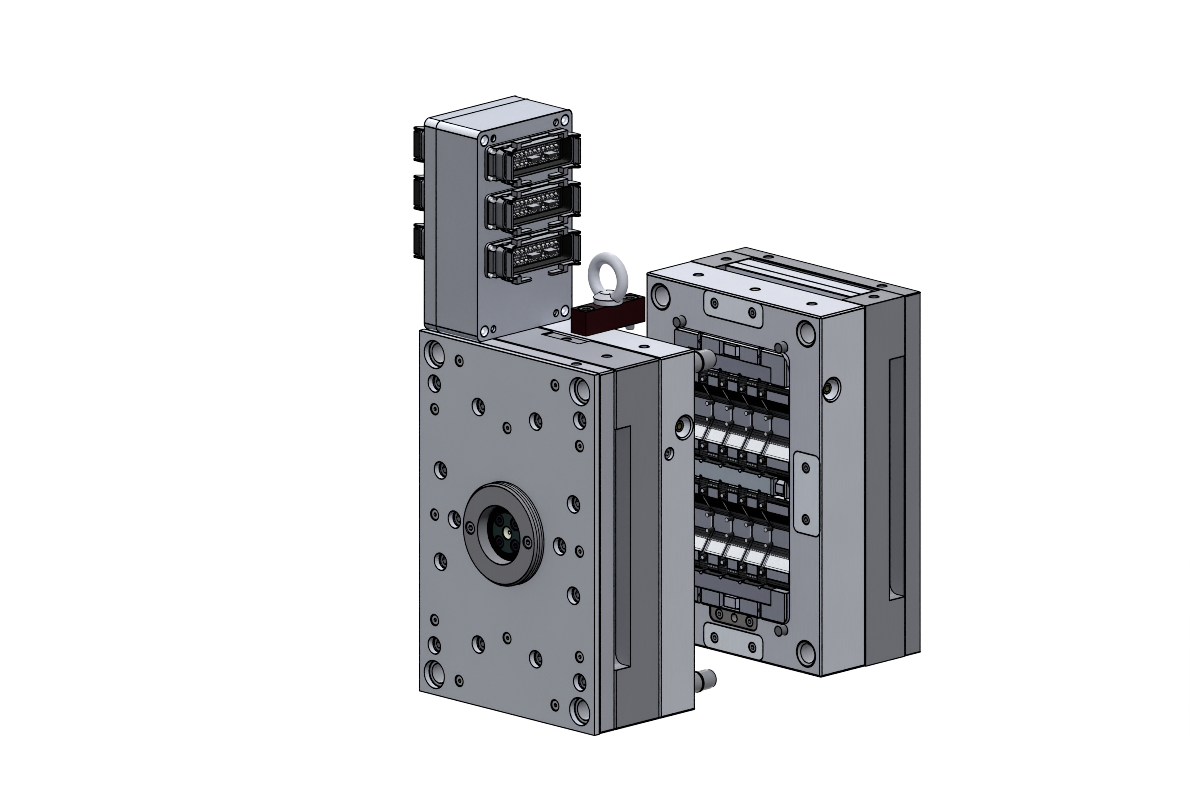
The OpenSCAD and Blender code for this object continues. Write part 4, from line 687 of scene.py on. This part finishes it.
# Painted light on the top faces and the hole walls, and a painted highlight on the upper roundings
box_painted_light_top = finish_of("box_painted_light_top", (180, 186, 199), rough=0.45, along=sprayed_grain, shine=0.2)
painted_rounding_highlight = finish_of("box_painted_rounding_highlight", (236, 240, 250), rough=0.4, along=sprayed_grain, shine=0.5)
hole_painted_light = finish_of("box_hole_painted_light", (226, 230, 240), rough=0.4)
for node in box_parts:
    dress_faces(node, box_painted_light_top, lambda centre, normal: normal.z > quite_flat)
    dress_faces(node, painted_rounding_highlight, on_upper_rounding)
    dress_faces(node, hole_painted_light, in_corner_hole)

# A rounding has no sharp edge, so its lines run where a flat face of the box bends into it
fillet_line = 0.0011
fillet_shortest = 0.012
least_bend, most_bend = 0.02, 0.5
square_on = 0.99999
for node in box_parts:
    piece = frame["nodes"][node]
    box_shape = welded_copy(piece)
    beads, line = dark_line(node + "_fillet_lines", fillet_line)
    for edge in box_shape.edges:
        if len(edge.link_faces) != 2 or edge.calc_length() < fillet_shortest:
            continue
        flats = sum(max(map(abs, face.normal)) > square_on for face in edge.link_faces)
        if least_bend < edge.calc_face_angle() < most_bend and flats == 1:
            add_path(line, [corner.co for corner in edge.verts])
    box_shape.free()
    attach(beads, piece["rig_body"])

# Connectors
# Die-cast housings with a grey coating, screwed to both sides of the box by their flanges, each with a hood
# that is dark inside. Two bent locking levers turn on each hood, and those on the left have ribbed grips.
cast_grain = (400, 400, 400)
rib_strokes = (60, 60, 900)
connector_edge = 0.0010
top_lean, grip_lean, wall_lean = 0.35, 0.5, 0.5
levers = [name for name in frame["nodes"] if name.startswith("lever_")]
connector_painted_light_top = finish_of("connector_painted_light_top", (168, 172, 180), rough=0.45, along=cast_grain, shine=0.3)
ribbed_grip = finish_of("ribbed_grip", (8, 8, 9), rough=0.7, along=rib_strokes, bump=0.3, shine=0.1)
hood_shade = finish_of("hood_shade", (12, 12, 14), rough=0.6, shine=0.1)
dress(["connector_housings"], finish_of("connector_grey", (96, 98, 104), rough=0.5, along=cast_grain))
dress(levers, finish_of("lever_grey", (112, 114, 121), rough=0.5, along=cast_grain))
# The upper faces of the housings and levers get a lighter copy of the grey, which is painted light
for node in ["connector_housings"] + levers:
    dress_faces(node, connector_painted_light_top, lambda centre, normal: normal.z > top_lean)
for lever in levers:
    if "_left_" in lever:
        dress_faces(lever, ribbed_grip, lambda centre, normal: abs(normal.y) > grip_lean)

# The inside of each hood ends at the contact body that fills it
contacts_low, contacts_high = box_of("contact_inserts")
body_half_h = 0.015
body_middle_y = (contacts_low.y + contacts_high.y) / 2
middle_level = (contacts_low.z + contacts_high.z) / 2
body_levels = [contacts_low.z + body_half_h, middle_level, contacts_high.z - body_half_h]
wall_skin = 0.0006
hood_half_l = (contacts_high.y - contacts_low.y) / 2 + wall_skin
hood_half_h = body_half_h + wall_skin


def in_hood(centre, normal):
    """True for the inner walls of the hoods."""
    off_middle = abs(centre.y - body_middle_y)
    off_level = min(abs(centre.z - level) for level in body_levels)
    return abs(normal.x) < wall_lean and off_middle < hood_half_l and off_level < hood_half_h


dress_faces("connector_housings", hood_shade, in_hood)
draw_edges(["connector_housings"] + levers, connector_edge)

# Contacts
# Black plastic bodies with silver pins, pressed into the hoods. Small clips lie between the pins, and two
# keys stand out of each body's middle so that the plug goes on one way only.
contact_edge = 0.0007
box_middle_x = (box_low.x + box_high.x) / 2
pin_out = 0.0588
contact_black = finish_of("contact_black", (12, 12, 14), rough=0.5, along=cast_grain, shine=0.2)
dress(["contact_inserts"], contact_black)
dress_faces("contact_inserts", finish_of("contact_silver", (235, 236, 240), rough=0.3),
            lambda centre, normal: abs(centre.x - box_middle_x) > pin_out)
draw_edges(["contact_inserts"], contact_edge)

# The clips and keys stand on each body's front, which lies a pin's length behind the pins' tips
pin_l = 0.005
body_front = max(abs(x - box_middle_x) for x in (contacts_low.x, contacts_high.x)) - pin_l
stud_root = 0.0002
clip_out, clip_half_l, clip_half_h, clip_pitch = 0.0006, 0.0008, 0.0006, 0.0036
clip_rows = (-0.010, -0.0034, 0, 0.0034, 0.010)
clip_columns = 25
key_out, key_half_l, key_h = 0.009, 0.0065, 0.005
key_places = (-0.001, 0.027)
corners, faces, bright = [], [], []


def stud(side, y, half_l, z0, z1, out, key):
    """A small block on the face of a contact body, out to this height. A key is bright only on its top."""
    first = len(corners)
    corners.extend((box_middle_x + side * x, y + end, z) for x in (body_front - stud_root, body_front + out)
                   for end in (-half_l, half_l) for z in (z0, z1))
    for quad in box_quads:
        if side < 0:
            quad = quad[::-1]
        faces.append([first + corner for corner in quad])
        bright.append(not key or all(corners[first + corner][2] == z1 for corner in quad))


def has_clip(row, column):
    """Four in five places have a clip, and the empty ones shift from row to row."""
    return (column * 7 + row * 3) % 5 != 0


for side in both_sides:
    for level in body_levels:
        for row, rise in enumerate(clip_rows):
            for column in range(clip_columns):
                stagger = (row % 2) * clip_pitch / 2
                y = body_middle_y + (column - clip_columns // 2) * clip_pitch + stagger
                z = level + rise
                if has_clip(row, column):
                    stud(side, y, clip_half_l, z - clip_half_h, z + clip_half_h, clip_out, False)
        for key_place in key_places:
            stud(side, body_middle_y + key_place, key_half_l, level - key_h, level, key_out, True)
clips_mesh = bpy.data.meshes.new("contact_clips")
clips_mesh.from_pydata(corners, [], faces)
clips_mesh.materials.append(contact_black)
clips_mesh.materials.append(finish_of("clip_silver", (176, 180, 188), rough=0.4))
for face, is_bright in zip(clips_mesh.polygons, bright):
    face.material_index = int(is_bright)
clips = bpy.data.objects.new("contact_clips", clips_mesh)
scene.collection.objects.link(clips)
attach(clips, frame["nodes"]["contact_inserts"]["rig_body"])

# Lifting gear
# A dark red painted steel bar that is screwed to the fixed half and reaches past the parting face, with a
# galvanised eye bolt for the crane.
lifting_edge = 0.0009
dress(["lifting_bar"], finish_of("lifting_red", (36, 5, 8), rough=0.45, along=sprayed_grain, shine=0.016))
dress(["lifting_bar_screws"], finish_of("bar_screw_steel", (90, 92, 98), rough=0.4, metal=0.4))
dress(["eye_bolt"], finish_of("galvanised", (200, 203, 212), rough=0.4, along=sprayed_grain, shine=0.12))
draw_edges(["lifting_bar", "eye_bolt"], lifting_edge)
draw_edges(["lifting_bar_screws"], small_edge)

# The far screw's shank stands out below the bar, where it locks the halves together in transport
shank_r, shank_reach = 0.0055, 0.010
shank_sunk = 0.0006
shank_bevel = 0.0015
shank_end_share = 0.85
shank_corners = 32
screw_head_r = 0.009
shank_y = box_of("lifting_bar_screws")[1].y - screw_head_r
shank_top = box_of("lifting_bar")[0].z + shank_sunk
shank = bmesh.new()
bmesh.ops.create_cone(shank, cap_ends=True, segments=shank_corners, radius1=shank_r * shank_end_share,
                      radius2=shank_r, depth=shank_bevel)
bmesh.ops.translate(shank, verts=shank.verts, vec=(0, shank_y, shank_top - shank_reach + shank_bevel / 2))
shank_body = bmesh.ops.create_cone(shank, cap_ends=True, segments=shank_corners, radius1=shank_r,
                                   radius2=shank_r, depth=shank_reach - shank_bevel)["verts"]
bmesh.ops.translate(shank, verts=shank_body, vec=(0, shank_y, shank_top - (shank_reach - shank_bevel) / 2))
shank_mesh = bpy.data.meshes.new("transport_shank")
shank.to_mesh(shank_mesh)
shank.free()
shank_mesh.materials.append(pillar_steel)
shank_piece = bpy.data.objects.new("transport_shank", shank_mesh)
scene.collection.objects.link(shank_piece)
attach(shank_piece, frame["nodes"]["lifting_bar"]["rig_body"])
